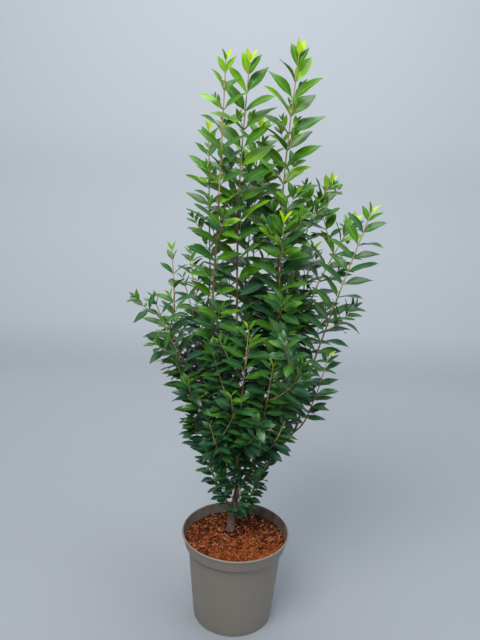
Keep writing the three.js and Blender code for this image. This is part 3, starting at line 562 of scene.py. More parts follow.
def circle(radius, turn, z):
    return np.column_stack([radius * np.cos(turn), radius * np.sin(turn), np.full(len(turn), z)])


# Leaves
ALONG = np.array([0.0, 0.035, 0.10, 0.2, 0.33, 0.47, 0.62, 0.77, 0.9, 1.0])
ACROSS = [-1, -0.55, 0, 0.55, 1]
UNDER = [-0.55, 0, 0.55]


def leaf_template():
    """Shares along and across of each point of one leaf, which side it is on, and its faces."""
    rows, wide, ring = len(ALONG) - 2, len(ACROSS), len(ACROSS) + len(UNDER)
    t = np.array([0.0, *np.repeat(ALONG[1:-1], ring), 1.0])
    v = np.array([0.0, *(ACROSS + UNDER) * rows, 0.0])
    side = np.array([0.0, *([1] * wide + [-1] * len(UNDER)) * rows, 0.0])
    last = len(t) - 1
    quads, tris = [], []
    for row in range(rows):
        a = 1 + ring * row
        top = [a + i for i in range(wide)]
        low = [a, *range(a + wide, a + ring), a + wide - 1]
        for i in range(wide - 1):
            if row < rows - 1:
                quads += [[top[i], top[i] + ring, top[i + 1] + ring, top[i + 1]],
                          [low[i], low[i + 1], low[i + 1] + ring, low[i] + ring]]
            if row == 0:
                tris += [[0, top[i], top[i + 1]], [0, low[i + 1], low[i]]]
            if row == rows - 1:
                tris += [[last, top[i + 1], top[i]], [last, low[i], low[i + 1]]]
    return t, v, side, np.array(quads), np.array(tris)


LEAF_T, LEAF_V, LEAF_SIDE, LEAF_QUADS, LEAF_TRIS = leaf_template()
PETIOLE = 0.06
# A blade's bend and fold in degrees and its width: at the tip, or the least and what chance adds
YOUNG = dict(bend=8, fold=38, width=0.34)
GROWN = dict(bend=(14, 30), fold=(9, 14), width=(0.38, 0.06))
BLADE = Rule(roll=26, broad=0.3, stalk=0.55, stalk_share=0.006, wave=0.018, waves=9, swerve=0.06, flat=0.35,
             thick=0.28, stalk_end=0.08, rib=0.35)
BROAD_OVER = (300, 430)


def blade_width(t, broad):
    """Half-width of the blade as a share of its greatest."""
    s = np.clip((t - PETIOLE) / (1 - PETIOLE), 0, 1)
    low, high = 0.82 - 0.2 * broad, 1.12 - 0.5 * broad
    peak = low / (low + high)
    return (s**low) * ((1 - s) ** high) / (peak**low * (1 - peak) ** high)


def leaf_points(leaf):
    """Points of one leaf: arched over its length, folded on its midrib, a little wavy."""
    key = leaf["key"]
    young = leaf["n"] == 0

    def drawn(what, number):
        least, more = GROWN[what]
        return YOUNG[what] if young else least + more * chance(*key, number)

    length, along, face = leaf["length"], leaf["along"], leaf["face"]
    roll = math.radians(BLADE.roll * (chance(*key, 21) - 0.5))
    across = np.cross(face, along)
    face, across = (face * math.cos(roll) + across * math.sin(roll),
                    across * math.cos(roll) - face * math.sin(roll))
    bend, fold = math.radians(drawn("bend", 22)), math.radians(drawn("fold", 23))
    broad = 1 - height_share(leaf["root"][2], *BROAD_OVER)
    width = length * drawn("width", 24) * (1 + BLADE.broad * broad)
    stalk = BLADE.stalk + BLADE.stalk_share * length
    half = np.maximum(0.5 * width * blade_width(LEAF_T, broad), np.where(LEAF_T < 0.3, stalk * 0.9, 0))
    half = np.where((LEAF_T == 0) | (LEAF_T == 1), 0, half)
    angle = bend * LEAF_T
    ahead = length * np.sin(angle) / bend
    drop = length * (1 - np.cos(angle)) / bend
    middle = leaf["root"] + ahead[:, None] * along - drop[:, None] * face
    normal = face * np.cos(angle)[:, None] + along * np.sin(angle)[:, None]
    beside = np.abs(LEAF_V)
    wave = BLADE.wave * length * np.sin(BLADE.waves * LEAF_T + 6 * chance(*key, 25)) * LEAF_V * beside
    swerve = BLADE.swerve * length * (chance(*key, 26) - 0.5) * 2 * LEAF_T**2
    lift = beside * half * math.tan(fold) * (1 - BLADE.flat * beside)
    at_stalk = (stalk - 0.2) * np.exp(-LEAF_T / BLADE.stalk_end)
    thick = np.where(LEAF_SIDE < 0, BLADE.thick + at_stalk, 0)
    thick = thick + np.where((LEAF_SIDE < 0) & (LEAF_V == 0), BLADE.rib * (1 - LEAF_T), 0)
    return middle + (LEAF_V * half + swerve)[:, None] * across + (lift + wave - thick)[:, None] * normal


# Which colour a leaf has: what makes it darker, which is leaf age and, lower down and inside the crown,
# painted shade; where the tips are pale, and the crown's middle
AGE_AND_SHADE = Rule(first=1.75, lower=2.85, over=(450, 1250), power=1.2, luck=2.7, aside=0.6, aside_from=(90, 180),
           aside_over=(850, 950), inner=0.3, inside=(130, 20), inner_over=(700, 1150), young=0.4)
PALE = Rule(above=560, share=0.9, next=0.3, more=0.5, left=0.7, left_from=(90, 120))
MIDDLE = 10


def leaf_class(leaf):
    """Which of the leaf colours this leaf has: 0 is the palest. Darker lower down and inside the crown is
    partly painted shade.
    """
    x, y, z = leaf["root"]
    n, luck = leaf["n"], chance(*leaf["key"], 31)
    vigour = leaf["vigour"] * (1 - PALE.left * height_share(-x, *PALE.left_from))
    if n == 0 and z > PALE.above and vigour:
        return 0 if luck < PALE.share * vigour else (1 if luck < PALE.next + PALE.more * vigour else 2)
    depth = height_share(math.hypot(x - MIDDLE, y - MIDDLE), *AGE_AND_SHADE.inside)
    # Darker lower down: partly older leaves, partly painted shade
    age_and_shade = AGE_AND_SHADE.first + AGE_AND_SHADE.lower * (1 - height_share(z, *AGE_AND_SHADE.over)) ** AGE_AND_SHADE.power
    age_and_shade += AGE_AND_SHADE.luck * (luck - 0.5)
    age_and_shade += AGE_AND_SHADE.aside * height_share(abs(x), *AGE_AND_SHADE.aside_from) * (1 - height_share(z, *AGE_AND_SHADE.aside_over))
    young = AGE_AND_SHADE.young * vigour if n < 2 else 0
    # Darker deep inside the crown below its top: painted shade; young leaves are paler
    age_and_shade += AGE_AND_SHADE.inner * depth * (1 - height_share(z, *AGE_AND_SHADE.inner_over)) - young
    return int(np.clip(round(age_and_shade), 1, 5))


def leaf_mesh(name, rows, materials):
    start = (np.arange(len(rows)) * len(LEAF_T))[:, None, None]
    faces = [(LEAF_QUADS[None] + start).reshape(-1, 4), (LEAF_TRIS[None] + start).reshape(-1, 3)]
    # Upper and under faces take turns, each class with a material for either
    tint = np.array([leaf_class(leaf) for leaf in rows])[:, None] * 2
    under = [np.arange(len(f))[None] % 2 for f in (LEAF_QUADS, LEAF_TRIS)]
    face_material = np.concatenate([(tint + below).ravel() for below in under])
    uv = np.tile(np.column_stack([LEAF_T, 0.5 + 0.5 * LEAF_V]), (len(rows), 1))
    points = np.concatenate([leaf_points(leaf) for leaf in rows])
    thing = mesh_object(name, points, faces, materials, face_material, uv)
    thing.data.set_sharp_from_angle(angle=math.radians(70))
    return thing


# Twigs
def tube(line, begin, end, radius, sides, step):
    """A tube with closed ends, and each quad's share of the way along it."""
    count = max(2, int(round((end - begin) / step)))
    along = np.linspace(begin, end, count + 1)
    turn = 2 * np.pi * np.arange(sides) / sides
    rings = []
    for distance in along:
        _, first, second = line.frame(distance)
        ring = np.outer(np.cos(turn), first) + np.outer(np.sin(turn), second)
        rings.append(line.at(distance) + ring * radius(distance))
    tip = line.at(end) + line.heading(end) * radius(end) * 1.2
    share = np.repeat((along[:-1] + along[1:]) / 2 / line.length, sides)
    return *lofted(rings, line.at(begin), tip), share


THICK_TWIG = 1.55


def knotty_radius(twig, index):
    """A twig's radius, which swells and shrinks a little on its way."""
    line, scale = twig["line"], twig["tip"] / TIP_RADIUS
    base = stem_radius(twig["girth"], line)
    return lambda d: base(d) * (1 + (scale - 1) * d / line.length) * (1 + 0.05 * math.sin(d / 7.0 + index))


def twig_mesh(name, rows, materials):
    parts, quad_mat, tri_mat = [], [], []
    for index, twig in enumerate(rows):
        line = twig["line"]
        sides, step = (8, 10) if twig["girth"] > THICK_TWIG else (6, 7)
        *part, share = tube(line, twig["begin"], line.length, knotty_radius(twig, index), sides, step)
        parts.append(part)
        quad_mat.append(np.where(share > twig["green"], 1, 0))
        tri_mat.append(np.repeat([0, 1], sides))
    return mesh_object(name, *joined(parts), materials, np.concatenate([*quad_mat, *tri_mat]))


# Materials
def linear(hexed):
    """A colour as shown, to the linear numbers a shader takes."""
    rgb = np.array([int(hexed[i:i + 2], 16) for i in (0, 2, 4)]) / 255
    return [*np.where(rgb > 0.04045, ((rgb + 0.055) / 1.055) ** 2.4, rgb / 12.92), 1.0]


def scaled(colour, by):
    return [*(c * by for c in colour[:3]), 1.0]


class Nodes:
    """A material's nodes, added one by one."""

    def __init__(self, name, roughness, specular):
        self.material = bpy.data.materials.new(name)
        self.material.use_nodes = True
        self.tree = self.material.node_tree
        self.shader = self.tree.nodes["Principled BSDF"]
        self.shader.inputs["Roughness"].default_value = roughness
        self.shader.inputs["Specular IOR Level"].default_value = specular

    def fill(self, socket, value):
        if isinstance(value, bpy.types.NodeSocket):
            self.tree.links.new(value, socket)
        else:
            socket.default_value = value

    def add(self, kind, values=None, **settings):
        node = self.tree.nodes.new("ShaderNode" + kind)
        for key, value in settings.items():
            setattr(node, key, value)
        for key, value in (values or {}).items():
            self.fill(node.inputs[key], value)
        return node

    def math(self, operation, a, b=0.0):
        return self.add("Math", {0: a, 1: b}, operation=operation).outputs[0]

    def times(self, a, b):
        return self.math("MULTIPLY", a, b)

    def plus(self, a, b):
        return self.math("ADD", a, b)

    def span(self, value, low, high, start=0.0, end=1.0):
        """A number from start to end for a value's way from low to high."""
        return self.add("MapRange", {0: value, 1: low, 2: high, 3: start, 4: end}).outputs[0]

    def noise(self, vector, scale, detail=3.0, rough=0.55):
        values = {"Vector": vector, "Scale": scale, "Detail": detail, "Roughness": rough}
        return self.add("TexNoise", values).outputs["Fac"]

    def place(self, stretch=(1, 1, 1)):
        coordinates = self.add("TexCoord").outputs["Object"]
        return self.add("Mapping", {"Vector": coordinates, "Scale": stretch}).outputs[0]

    def ramp(self, value, stops):
        """Colours in hex over a value from 0 to 1."""
        node = self.add("ValToRGB", {"Fac": value})
        elements = node.color_ramp.elements
        while len(elements) < len(stops):
            elements.new(0.5)
        for element, (place, hexed) in zip(elements, stops):
            element.position = place
            element.color = linear(hexed)
        return node.outputs["Color"]

    def mix(self, share, a, b):
        node = self.add("Mix", {0: share, 6: a, 7: b}, data_type="RGBA")
        return node.outputs[2]

    def colour(self, value):
        self.fill(self.shader.inputs["Base Color"], value)

    def rough(self, value):
        self.fill(self.shader.inputs["Roughness"], value)

    def bump(self, height, strength, distance):
        node = self.add("Bump", {"Height": height, "Strength": strength, "Distance": distance})
        self.fill(self.shader.inputs["Normal"], node.outputs[0])


def leaf_material(name, hexed, rib, under, gloss):
    """A leaf's face: pale midrib, faint side veins, slow changes of colour."""
    base, pale = linear(hexed), linear(rib)
    n = Nodes(name, 0.6 if under else 0.31, 0.6 * gloss if under else gloss)
    u, v, _ = n.add("SeparateXYZ", {0: n.add("TexCoord").outputs["UV"]}).outputs
    out = n.times(n.math("ABSOLUTE", n.math("SUBTRACT", v, 0.5)), 2.0)
    midrib = n.span(out, 0.14, 0.03)
    slant = n.math("SUBTRACT", u, n.times(out, 0.22))
    comb = n.math("ABSOLUTE", n.math("SUBTRACT", n.math("FRACT", n.times(slant, 9.0)), 0.5))
    veins = n.span(comb, 0.1, 0.0)
    cloud, fleck = n.noise(n.place(), 38.0, 2.0), n.noise(n.place(), 420.0, 2.0)
    tone = n.mix(cloud, scaled(base, 0.8), scaled(base, 1.22))
    tone = n.mix(n.times(fleck, 0.18), tone, scaled(base, 0.6))
    tone = n.mix(n.times(veins, 0.16), tone, pale)
    n.colour(n.mix(n.times(midrib, 0.75 if under else 0.6), tone, pale))
    height = n.plus(n.times(veins, -0.4), n.times(midrib, 1.0 if under else -1.0))
    n.bump(n.plus(height, n.times(fleck, 0.5)), 0.35, 0.0005)
    return n.material


# Under faces are paler than upper ones: partly their own colour, partly painted light shining through leaves
# that face down into shade
LEAF_COLOURS = [  # upper face, midrib, under face, gloss
    ("a8cc10", "c4dc48", "a0bc2c", 0.32),
    ("68a010", "a2bc40", "759c30", 0.32),
    ("427910", "7e9e38", "5a842c", 0.32),
    ("366a1d", "70924a", "50783a", 0.46),
    ("295a2b", "5e8449", "466a40", 0.46),
    ("204c2f", "4c7848", "3a5d3f", 0.46),
]
leaf_materials = []
for index, (upper, rib, lower, gloss) in enumerate(LEAF_COLOURS):
    leaf_materials.append(leaf_material(f"leaf_upper_{index}", upper, rib, False, gloss))
    leaf_materials.append(leaf_material(f"leaf_under_{index}", lower, rib, True, gloss))


def bark_material(name, tones, stretch, scale, depth, roughness):
    """Bark from dark to pale tones, drawn out along the wood, with fine pores."""
    dark, mid, pale = tones
    n = Nodes(name, roughness, 0.3)
    coarse = n.noise(n.place((1, 1, stretch)), scale, 5.0, 0.65)
    fine = n.noise(n.place(), scale * 4.5, 4.0)
    tone = n.ramp(coarse, [(0.3, dark), (0.52, mid), (0.75, pale)])
    pores = n.add("TexVoronoi", {"Vector": n.place((1, 1, 1.6)), "Scale": scale * 2.2}).outputs["Distance"]
    tone = n.mix(n.times(n.span(pores, 0.16, 0.06), 0.45), tone, linear(pale))
    n.colour(n.mix(n.times(fine, 0.35), tone, linear(dark)))
    n.bump(n.plus(coarse, n.times(fine, 0.5)), 0.7, depth)
    return n.material


bark = bark_material("bark", ("3e2d29", "7f645b", "ab9187"), 0.28, 260.0, 0.0009, 0.85)
twig_bark = bark_material("twig_bark", ("4c3d26", "7a6440", "a18b60"), 0.2, 300.0, 0.0003, 0.6)
twig_green = bark_material("twig_green", ("84803f", "ad9465", "cfa78c"), 0.2, 260.0, 0.0002, 0.5)

for name in STEMS:
    blades = leaf_mesh(f"leaves_{name}", leaves[name], leaf_materials)
    stalks = twig_mesh(f"twigs_{name}", twigs[name], [twig_bark, twig_green])
    for thing in (blades, stalks):
        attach(thing, "root")
        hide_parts(f"shoots_{name}")


# Trunk and boughs
SKIN = Rule(voxel=0.8, ease=0.5, passes=4, trunk_sides=28, bough_sides=18, step=5, into_mass=4)
RELIEF = [  # depth in millimetres, size of the lumps across and along the wood
    (0.14, 1.4, 4.5),
    (0.5, 9, 14),
]
RIDGES = Rule(depth=0.32, steep=2.2, across=3.2, along=17)
RELIEF_FADE = Rule(top=460, over=140, least=0.35)


def wood():
    """Trunk and boughs as one skin with collars where they fork, then the bark's relief."""
    sides, step = SKIN.bough_sides, SKIN.step
    parts = [tube(trunk_line, 0, trunk_line.length, trunk_radius, SKIN.trunk_sides, step)[:3]]
    for stem in STEMS.values():
        if stem["bare"]:
            end = stem["bare_end"] + SKIN.into_mass
            parts.append(tube(stem["line"], 0, end, stem["radius"], sides, step)[:3])
    thing = mesh_object("trunk_and_boughs", *joined(parts), [bark])
    remesh = thing.modifiers.new("skin", "REMESH")
    remesh.mode = "VOXEL"
    remesh.voxel_size = SKIN.voxel * MM
    ease = thing.modifiers.new("ease", "SMOOTH")
    ease.factor = SKIN.ease
    ease.iterations = SKIN.passes
    mesh = with_modifiers(thing)
    count = len(mesh.vertices)
    places, normals = np.empty(count * 3), np.empty(count * 3)
    mesh.vertices.foreach_get("co", places)
    mesh.vertices.foreach_get("normal", normals)
    places, normals = places.reshape(-1, 3), normals.reshape(-1, 3)

    def lumps(x, y, z, across, along):
        return noise.noise((x / across, y / across, z / along))

    relief = np.empty(count)
    for i, place in enumerate(places / MM):
        ridges = 1 - abs(lumps(*place, RIDGES.across, RIDGES.along)) * RIDGES.steep
        relief[i] = RIDGES.depth * ridges
        for depth, across, along in RELIEF:
            relief[i] += depth * lumps(*place, across, along)
    near = (RELIEF_FADE.top - places[:, 2] / MM) / RELIEF_FADE.over
    places += normals * (relief * np.clip(near, RELIEF_FADE.least, 1) * MM)[:, None]
    mesh.vertices.foreach_set("co", places.astype(np.float32).ravel())
    mesh.update()
    mesh.polygons.foreach_set("use_smooth", np.ones(len(mesh.polygons), bool))
    return thing


skin = wood()
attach(skin, "root")
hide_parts("trunk", *[f"bough_{name}" for name, stem in STEMS.items() if stem["bare"]])


# Pot
def outer_radius(z):
    share = (z - POT.foot_height) / (LEDGE - POT.foot_height)
    low = POT.foot + POT.foot_step
    return low + share * (POT.shoulder - low)


def rounded(profile, steps=5):
    """A profile with each corner (radius, z, rounding) eased by an arc."""
    out = []
    for i, (x, y, ease) in enumerate(profile):
        here = np.array([x, y], float)
        if ease <= 0 or i in (0, len(profile) - 1):
            out.append(here)
            continue
        before, after = np.array(profile[i - 1][:2], float), np.array(profile[i + 1][:2], float)
        a = here + unit(before - here) * min(ease, 0.45 * np.linalg.norm(before - here))
        b = here + unit(after - here) * min(ease, 0.45 * np.linalg.norm(after - here))
        for s in np.linspace(0, 1, steps):
            out.append((1 - s) ** 2 * a + 2 * s * (1 - s) * here + s**2 * b)
    return np.array(out)


def lathe(profile, sides):
    """A profile of (radius, z) turned about the pot's axis, on which it begins and ends."""
    turn = 2 * np.pi * np.arange(sides) / sides
    rings = [circle(radius, turn, z) for radius, z in profile[1:-1]]
    return lofted(rings, [0, 0, profile[0][1]], [0, 0, profile[-1][1]])


def pot_material():
    """Taupe plastic: faint streaks, splashes of dirt, most of them low down, and a paler lip, which is a
    painted highlight.
    """
    n = Nodes("pot_plastic", 0.5, 0.4)
    place = n.place()
    height = n.add("SeparateXYZ", {0: place}).outputs[2]
    cloud = n.noise(place, 9.0, 4.0)
    streak = n.noise(n.place((1, 1, 0.12)), 45.0, 3.0)
    tone = n.mix(cloud, linear("807970"), linear("8a8277"))
    tone = n.mix(n.times(streak, 0.35), tone, linear("625d57"))
    low = n.span(height, 0.05, 0.0, 0.0, 0.35)
    dirt = n.span(n.noise(place, 60.0, 6.0, 0.7), 0.58, 0.72, 0.0, 0.5)
    tone = n.mix(n.plus(n.times(dirt, 0.35), n.times(low, dirt)), tone, linear("55473a"))
    # A paler band over the rim's top: painted highlight
    n.colour(n.mix(n.span(height, 0.2295, 0.2325, 0.0, 0.6), tone, linear("93806f")))
    scuff = n.noise(n.place((1, 1, 6)), 30.0, 5.0)
    n.rough(n.span(scuff, 0.3, 0.7, 0.42, 0.6))
    n.bump(n.plus(n.noise(place, 900.0, 2.0), n.times(cloud, 2.0)), 0.12, 0.0004)
    return n.material


def mottled_material(name, tones, scale, shares, detail, rough, roughness, specular, strength, depth):
    """One noise for three tones and for the bumps."""
    n = Nodes(name, roughness, specular)
    cloud = n.noise(n.place(), scale, detail, rough)
    n.colour(n.ramp(cloud, list(zip(shares, tones))))
    n.bump(cloud, strength, depth)
    return n.material


# Dark brown tones inside the pot: partly dirt, partly painted shade on the inner wall
inner_plastic = mottled_material(
    "pot_inside", ("756c62", "5f544a", "3c2f27"), 40.0, shares=(0.35, 0.6, 0.8), detail=5.0, rough=0.65,
    roughness=0.6, specular=0.4, strength=0.2, depth=0.0005)


def pot_profile():
    """The pot's half section as (radius, z, rounding): from the axis out, up, and back down inside."""
    top, wall, foot, rim, band = POT.height, POT.wall, POT.foot, POT.rim, POT.band
    band_foot, foot_top, lip = POT.band_foot, POT.foot_height, POT.lip
    floor, raised = POT.floor, POT.raised
    mouth, halfway = band - wall, 100
    return rounded([
        (0, raised, 0), (58, raised, 1), (62, 0.9, 1), (foot - 12, 0.9, 1), (foot - 9, 0, 0.8),
        (foot - 1, 0, 1.2), (foot + 0.2, 2, 1.2), (foot + 0.5, foot_top - 1.6, 0.8),
        (outer_radius(foot_top), foot_top, 0.8), (outer_radius(halfway), halfway, 0),
        (outer_radius(LEDGE) - 0.3, LEDGE - 0.5, 1.5),
        (band_foot - 1.5, LEDGE, 1.2), (band_foot + 0.1, LEDGE + 1.6, 1.2),
        (band - 0.4, top - lip - 1.6, 1.2), (rim - 0.3, top - lip - 0.2, 0.9),
        (rim, top - 1.8, 1.2), (rim - 1.4, top, 1.2), (mouth + 0.8, top, 1.2),
        (mouth - 0.2, top - 2.4, 1.0), (band_foot - wall, LEDGE + wall + 0.4, 1.5),
        (outer_radius(LEDGE) - wall, LEDGE + wall, 1.5), (outer_radius(halfway) - wall, halfway, 0),
        (outer_radius(floor) - wall, floor + 1, 2), (outer_radius(floor) - wall - 3, floor, 2), (0, floor, 0),
    ])


def make_pot():
    """The thin-walled pot with its drain holes."""
    profile, sides = pot_profile(), POT.sides
    points, *faces = lathe(profile, sides)
    inner_ring = np.flatnonzero(np.abs(profile[:, 1] - POT.height) < 1e-6)[-1]
    face_material = np.concatenate([(f.min(axis=1) >= sides * inner_ring).astype(int) for f in faces])
    pot = mesh_object("pot_shell", points, faces, [pot_material(), inner_plastic], face_material)
    radius, low, high = DRAIN.radius, DRAIN.low, DRAIN.high
    hole, *faces = lathe(np.array([(0, low), (radius, low), (radius, high), (0, high)]), DRAIN.sides)
    turns = 2 * np.pi * (np.arange(DRAIN.count) + 0.5) / DRAIN.count
    holes = [(hole + place, *faces) for place in circle(DRAIN.circle, turns, 0)]
    cutter = mesh_object("cutter", *joined(holes), [])
    cut = pot.modifiers.new("drains", "BOOLEAN")
    cut.operation = "DIFFERENCE"
    cut.object = cutter
    cut.solver = "EXACT"
    with_modifiers(pot).set_sharp_from_angle(angle=math.radians(50))
    bpy.data.objects.remove(cutter)
    return pot


pot = make_pot()
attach(pot, "root")
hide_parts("pot")


# Compost and mulch
def mulch_edge():
    """The mulch's radius where it meets the pot's inside."""
    step = LEDGE + POT.wall + 0.4
    share = (MULCH.edge - step) / (POT.height - 1 - step)
    return POT.band_foot + share * (POT.band - POT.band_foot) - POT.wall - 2 * CLEAR


def mulch_top(x, y):
    """Height of the mulch bed: low lumps, higher towards the trunk, a hollow at its foot."""
    x, y = np.asarray(x, float), np.asarray(y, float)
    radius, turn = np.hypot(x, y), np.arctan2(y, x)
    share = np.clip(radius / mulch_edge(), 0, 1)
    spokes = np.sin(MULCH.lumps * turn + radius / MULCH.across)
    hoops = np.sin(radius / MULCH.round + 2 * turn)
    height = MULCH.crest + share * (MULCH.edge - MULCH.crest)
    height = height + MULCH.ripple * spokes * hoops * (1 - share**4)
    near = np.hypot(x - TRUNK_WAY[0][0], y - TRUNK_WAY[0][1] + MULCH.hollow_front)
    return height - MULCH.hollow * np.exp(-((near / MULCH.hollow_width) ** 2))


def crumbs(x, y):
    return noise.noise((x / 4, y / 4, 0.3)) * 1.6 + noise.noise((x / 1.7, y / 1.7, 5)) * 0.9


def mulch_bed():
    """The bed under the shreds: walls that follow the pot's inside, and its lumpy top."""
    rows, wall = MULCH.rows, POT.wall
    turn = 2 * np.pi * np.arange(MULCH.sides) / MULCH.sides
    low, step = COMPOST_TOP + CLEAR, LEDGE + wall
    walls = [(outer_radius(low) - wall - 2 * CLEAR, low), (outer_radius(step) - wall - 1, step + CLEAR),
             (POT.band_foot - wall - 2 * CLEAR, step + 0.7)]
    rings = [circle(radius, turn, z) for radius, z in walls]
    for r in range(rows, 0, -1):
        ring = circle(mulch_edge() * r / rows, turn, 0)
        x, y = ring[:, :2].T
        ring[:, 2] = mulch_top(x, y)
        if r < rows:
            ring[:, 2] += [crumbs(*place) for place in zip(x, y)]
        rings.append(ring)
    points, quads, tris = lofted(rings, [0, 0, low], [0, 0, float(mulch_top(0, 0))])
    # A quad's first corner is the inner one, which settles the diagonal that it is split along
    return mesh_object("mulch_bed", points, [np.roll(quads, 1, axis=1), tris], [bed])


SOIL = dict(shares=(0.35, 0.55, 0.75), detail=6.0, rough=0.7, roughness=0.95, specular=0.15, strength=0.8,
            depth=0.001)
# Dark bed tones: painted shade in the gaps between the shreds, over the bed's own brown
bed = mottled_material("mulch_bed", ("1d0c06", "4a1e0d", "7a3719"), 220.0, **SOIL)
compost = mottled_material("compost", ("120b07", "2a1c14", "463224"), 180.0, **SOIL)

# Shred colours; the darkest ones also carry painted shade to the back and at the trunk's foot
CHIP_COLOURS = ["b05e2e", "8f4524", "70331b", "502413", "32160d", "cc8c58", "7f3b1f", "1a0c07"]
CHIP_ORDER = [0, 1, 6, 2, 3, 4, 7]  # from pale to dark
PALE_CHIP = 5
CHIP_KINDS = [  # a draw under this number: length, width and thickness, each from and to
    (0.008, (16, 30), (1.0, 2.0), (0.6, 1.0)),
    (0.14, (5, 11), (2.0, 4.2), (0.8, 1.8)),
    (1, (8, 24), (1.1, 2.8), (0.6, 1.4)),
]
CHIP = Rule(count=4800, seed=7, off_trunk=13, dip=16, lean=0.5, least=0.35, bow=0.07, sunk=-0.4, proud=4.0,
            pale=0.08, varied=2.8)
CHIP_SHAPE = Rule(width=[0.25, 1, 0.9, 0.2], height=[0.5, 1, 1, 0.4],
                  corners=((-1, -1), (1, -1), (1, 1), (-1, 1)))
# Shred darkness: a middle value, painted shade of the crown growing to the back, random patches, and painted
# shade at the trunk's foot
CHIP_DARK = Rule(middle=0.38, back=0.48, patch=0.16, shade=0.5, shade_x=-11, shade_y=22, shade_size=700)


def chip_material(index, hexed):
    n = Nodes(f"chip_{index}", 0.9, 0.2)
    base, place = linear(hexed), n.place()
    grain, cloud = n.noise(place, 700.0, 3.0), n.noise(place, 90.0, 2.0)
    tone = n.mix(grain, scaled(base, 0.6), scaled(base, 1.3))
    n.colour(n.mix(n.times(cloud, 0.4), tone, scaled(base, 0.55)))
    n.bump(grain, 0.5, 0.0003)
    return n.material


def chip_darkness(x, y):
    """How dark the shreds are: in patches, darker to the back, which is painted shade of the crown, and
    darker with painted shade at the trunk's foot.
    """
    patch = noise.noise((x / 30, y / 30, 4.2)) + 0.5 * noise.noise((x / 13, y / 13, 1.7))
    shade = ((x - CHIP_DARK.shade_x) ** 2 + (y - CHIP_DARK.shade_y) ** 2) / CHIP_DARK.shade_size
    # Painted shade: darker towards the back under the crown, and around the trunk's foot
    dark = CHIP_DARK.middle + CHIP_DARK.back * y / mulch_edge() - CHIP_DARK.patch * patch
    return dark + CHIP_DARK.shade * math.exp(-shade)


def chips():
    """Loose shreds of bark: bent slivers with pointed ends, dealt out over the bed in layers."""
    rng = np.random.default_rng(CHIP.seed)
    count, edge = CHIP.count, mulch_edge()
    points, tints = [], []
    radius = (edge - 2) * np.sqrt(rng.random(count))
    turn = rng.random(count) * 2 * np.pi
    kind = rng.random(count)
    s = np.linspace(-0.5, 0.5, 4)
    for i in range(count):
        x, y = radius[i] * math.cos(turn[i]), radius[i] * math.sin(turn[i])
        if np.hypot(x - TRUNK_WAY[0][0], y - TRUNK_WAY[0][1]) < CHIP.off_trunk:
            continue
        sizes = next(sizes for limit, *sizes in CHIP_KINDS if kind[i] < limit)
        length, width, thick = [rng.uniform(*size) for size in sizes]
        heading = rng.uniform(0, 2 * np.pi)
        dip = math.radians(rng.normal(0, CHIP.dip))
        a = np.array([math.cos(heading) * math.cos(dip), math.sin(heading) * math.cos(dip), math.sin(dip)])
        c, b = sideways(a, UP + CHIP.lean * rng.normal(0, 1, 3))
        if radius[i] + 0.5 * length > edge:
            length *= max(CHIP.least, min(1, (edge - 1 - radius[i]) / (0.5 * length)))
        bow = rng.normal(0, CHIP.bow) * length
        middle = np.array([x, y, float(mulch_top(x, y)) + rng.uniform(CHIP.sunk, CHIP.proud)])
        line = middle + np.outer(s * length, a) + np.outer(bow * (1 - 4 * s * s), c)
        w = width * np.array(CHIP_SHAPE.width) * 0.5 * rng.uniform(0.8, 1.2, 4)
        h = thick * np.array(CHIP_SHAPE.height) * 0.5
        ring = [line + np.outer(su * w, b) + np.outer(sv * h, c) for su, sv in CHIP_SHAPE.corners]
        points.append(np.stack(ring, axis=1).reshape(-1, 3))
        if kind[i] < CHIP_KINDS[0][0] or rng.random() < CHIP.pale:
            tints.append(PALE_CHIP)
        else:
            step = chip_darkness(x, y) * len(CHIP_ORDER) + rng.normal(0, CHIP.varied)
            tints.append(CHIP_ORDER[int(np.clip(step, 0, len(CHIP_ORDER) - 1))])
    r, k = np.arange(3)[:, None] * 4, np.arange(4)[None]
    k2 = (k + 1) % 4
    one = np.stack([r + k, r + k2, r + 4 + k2, r + 4 + k], axis=-1).reshape(-1, 4)
    one = np.concatenate([one, [[3, 2, 1, 0], [12, 13, 14, 15]]])
    quads = (one[None] + 16 * np.arange(len(points))[:, None, None]).reshape(-1, 4)
    materials = [chip_material(i, c) for i, c in enumerate(CHIP_COLOURS)]
    return mesh_object("mulch_chips", np.concatenate(points), [quads], materials, np.repeat(tints, len(one)),
                       smooth=False)


for thing in (mulch_bed(), chips()):
    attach(thing, "root")
    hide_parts("mulch")
compost_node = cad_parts["compost"]
compost_node.data.materials.clear()
compost_node.data.materials.append(compost)


# Floor, light and camera
FLOOR = Rule(half=6000, front=-3000, back=2600, top=5200, bend=900)
FLOOR_TONES = [(0.0, "989da3"), (0.16, "b2b8bd"), (0.5, "bdc3c8"), (1.0, "c8cdd3")]  # from low to high


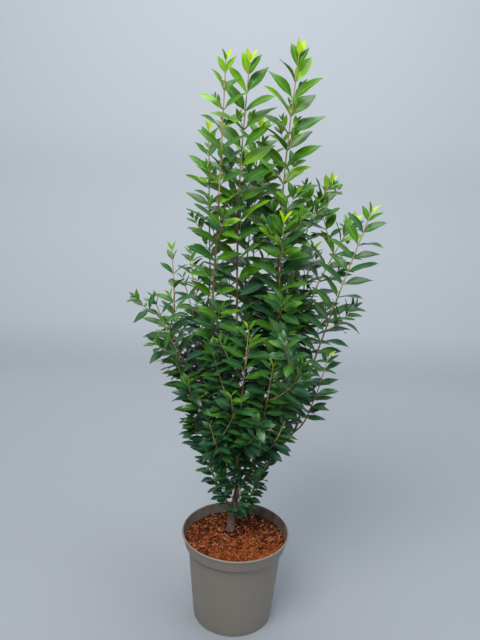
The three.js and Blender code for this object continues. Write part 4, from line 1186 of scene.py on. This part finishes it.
def stage():
    """A floor that bends up into a wall, paler upwards and a little paler further away."""
    n = Nodes("floor", 0.8, 0.2)
    _, y, z = n.add("SeparateXYZ", {0: n.place()}).outputs
    n.colour(n.ramp(n.plus(n.span(z, 0.0, 1.2), n.span(y, 0.2, 1.5, 0.0, 0.08)), FLOOR_TONES))
    bend, begin = FLOOR.bend, FLOOR.back - FLOOR.bend
    curve = [(FLOOR.front, 0.0), (begin, 0.0)]
    turns = np.linspace(0.1, math.pi / 2, 14)
    curve += [(begin + bend * math.sin(a), bend - bend * math.cos(a)) for a in turns]
    curve += [(FLOOR.back, FLOOR.top)]
    points = np.array([[x, y, z] for y, z in curve for x in (-FLOOR.half, FLOOR.half)])
    quads = np.array([[2 * i, 2 * i + 1, 2 * i + 3, 2 * i + 2] for i in range(len(curve) - 1)])
    return mesh_object("floor", points, [quads], [n.material])


stage()

LIGHTS = [  # name, place, target, size, power, colour
    ("key", (-0.9, -1.8, 3.2), (0, 0, 0.7), (1.8, 1.4), 95, (1.0, 0.98, 0.95)),
    ("fill", (2.4, -1.6, 1.6), (0, 0, 0.7), (2.0, 2.0), 20, (0.93, 0.96, 1.0)),
    ("top", (0.2, 0.5, 3.4), (0, 0.1, 0.8), (2.0, 2.0), 50, (1.0, 1.0, 1.0)),
]
SKY = Rule(colour="c8d2dc", strength=0.62)
CAMERA = Rule(place=[-0.0110, -1.4887, 1.2082], pitch=16.567, roll=2.4707, lens=39.375, sensor=36, near=0.05)

for name, place, target, size, power, colour in LIGHTS:
    data = bpy.data.lights.new(name, "AREA")
    data.shape = "RECTANGLE"
    data.size, data.size_y = size
    data.energy = power
    data.color = colour
    light = bpy.data.objects.new(name, data)
    light.location = place
    light.rotation_mode = "QUATERNION"
    light.rotation_quaternion = Vector(np.subtract(target, place)).to_track_quat("-Z", "Y")
    bpy.context.scene.collection.objects.link(light)
world = bpy.data.worlds.new("studio")
world.use_nodes = True
world.node_tree.nodes["Background"].inputs["Color"].default_value = linear(SKY.colour)
world.node_tree.nodes["Background"].inputs["Strength"].default_value = SKY.strength
bpy.context.scene.world = world
bpy.context.scene.view_settings.view_transform = "Standard"

camera_data = bpy.data.cameras.new("camera")
camera_data.lens = CAMERA.lens
camera_data.sensor_width = CAMERA.sensor
camera_data.clip_start = CAMERA.near
camera = bpy.data.objects.new("camera", camera_data)
pitched = Matrix.Rotation(math.radians(90 - CAMERA.pitch), 4, "X")
rolled = Matrix.Rotation(math.radians(CAMERA.roll), 4, "Z")
camera.matrix_world = Matrix.Translation(CAMERA.place) @ pitched @ rolled
bpy.context.scene.collection.objects.link(camera)
bpy.context.scene.camera = camera
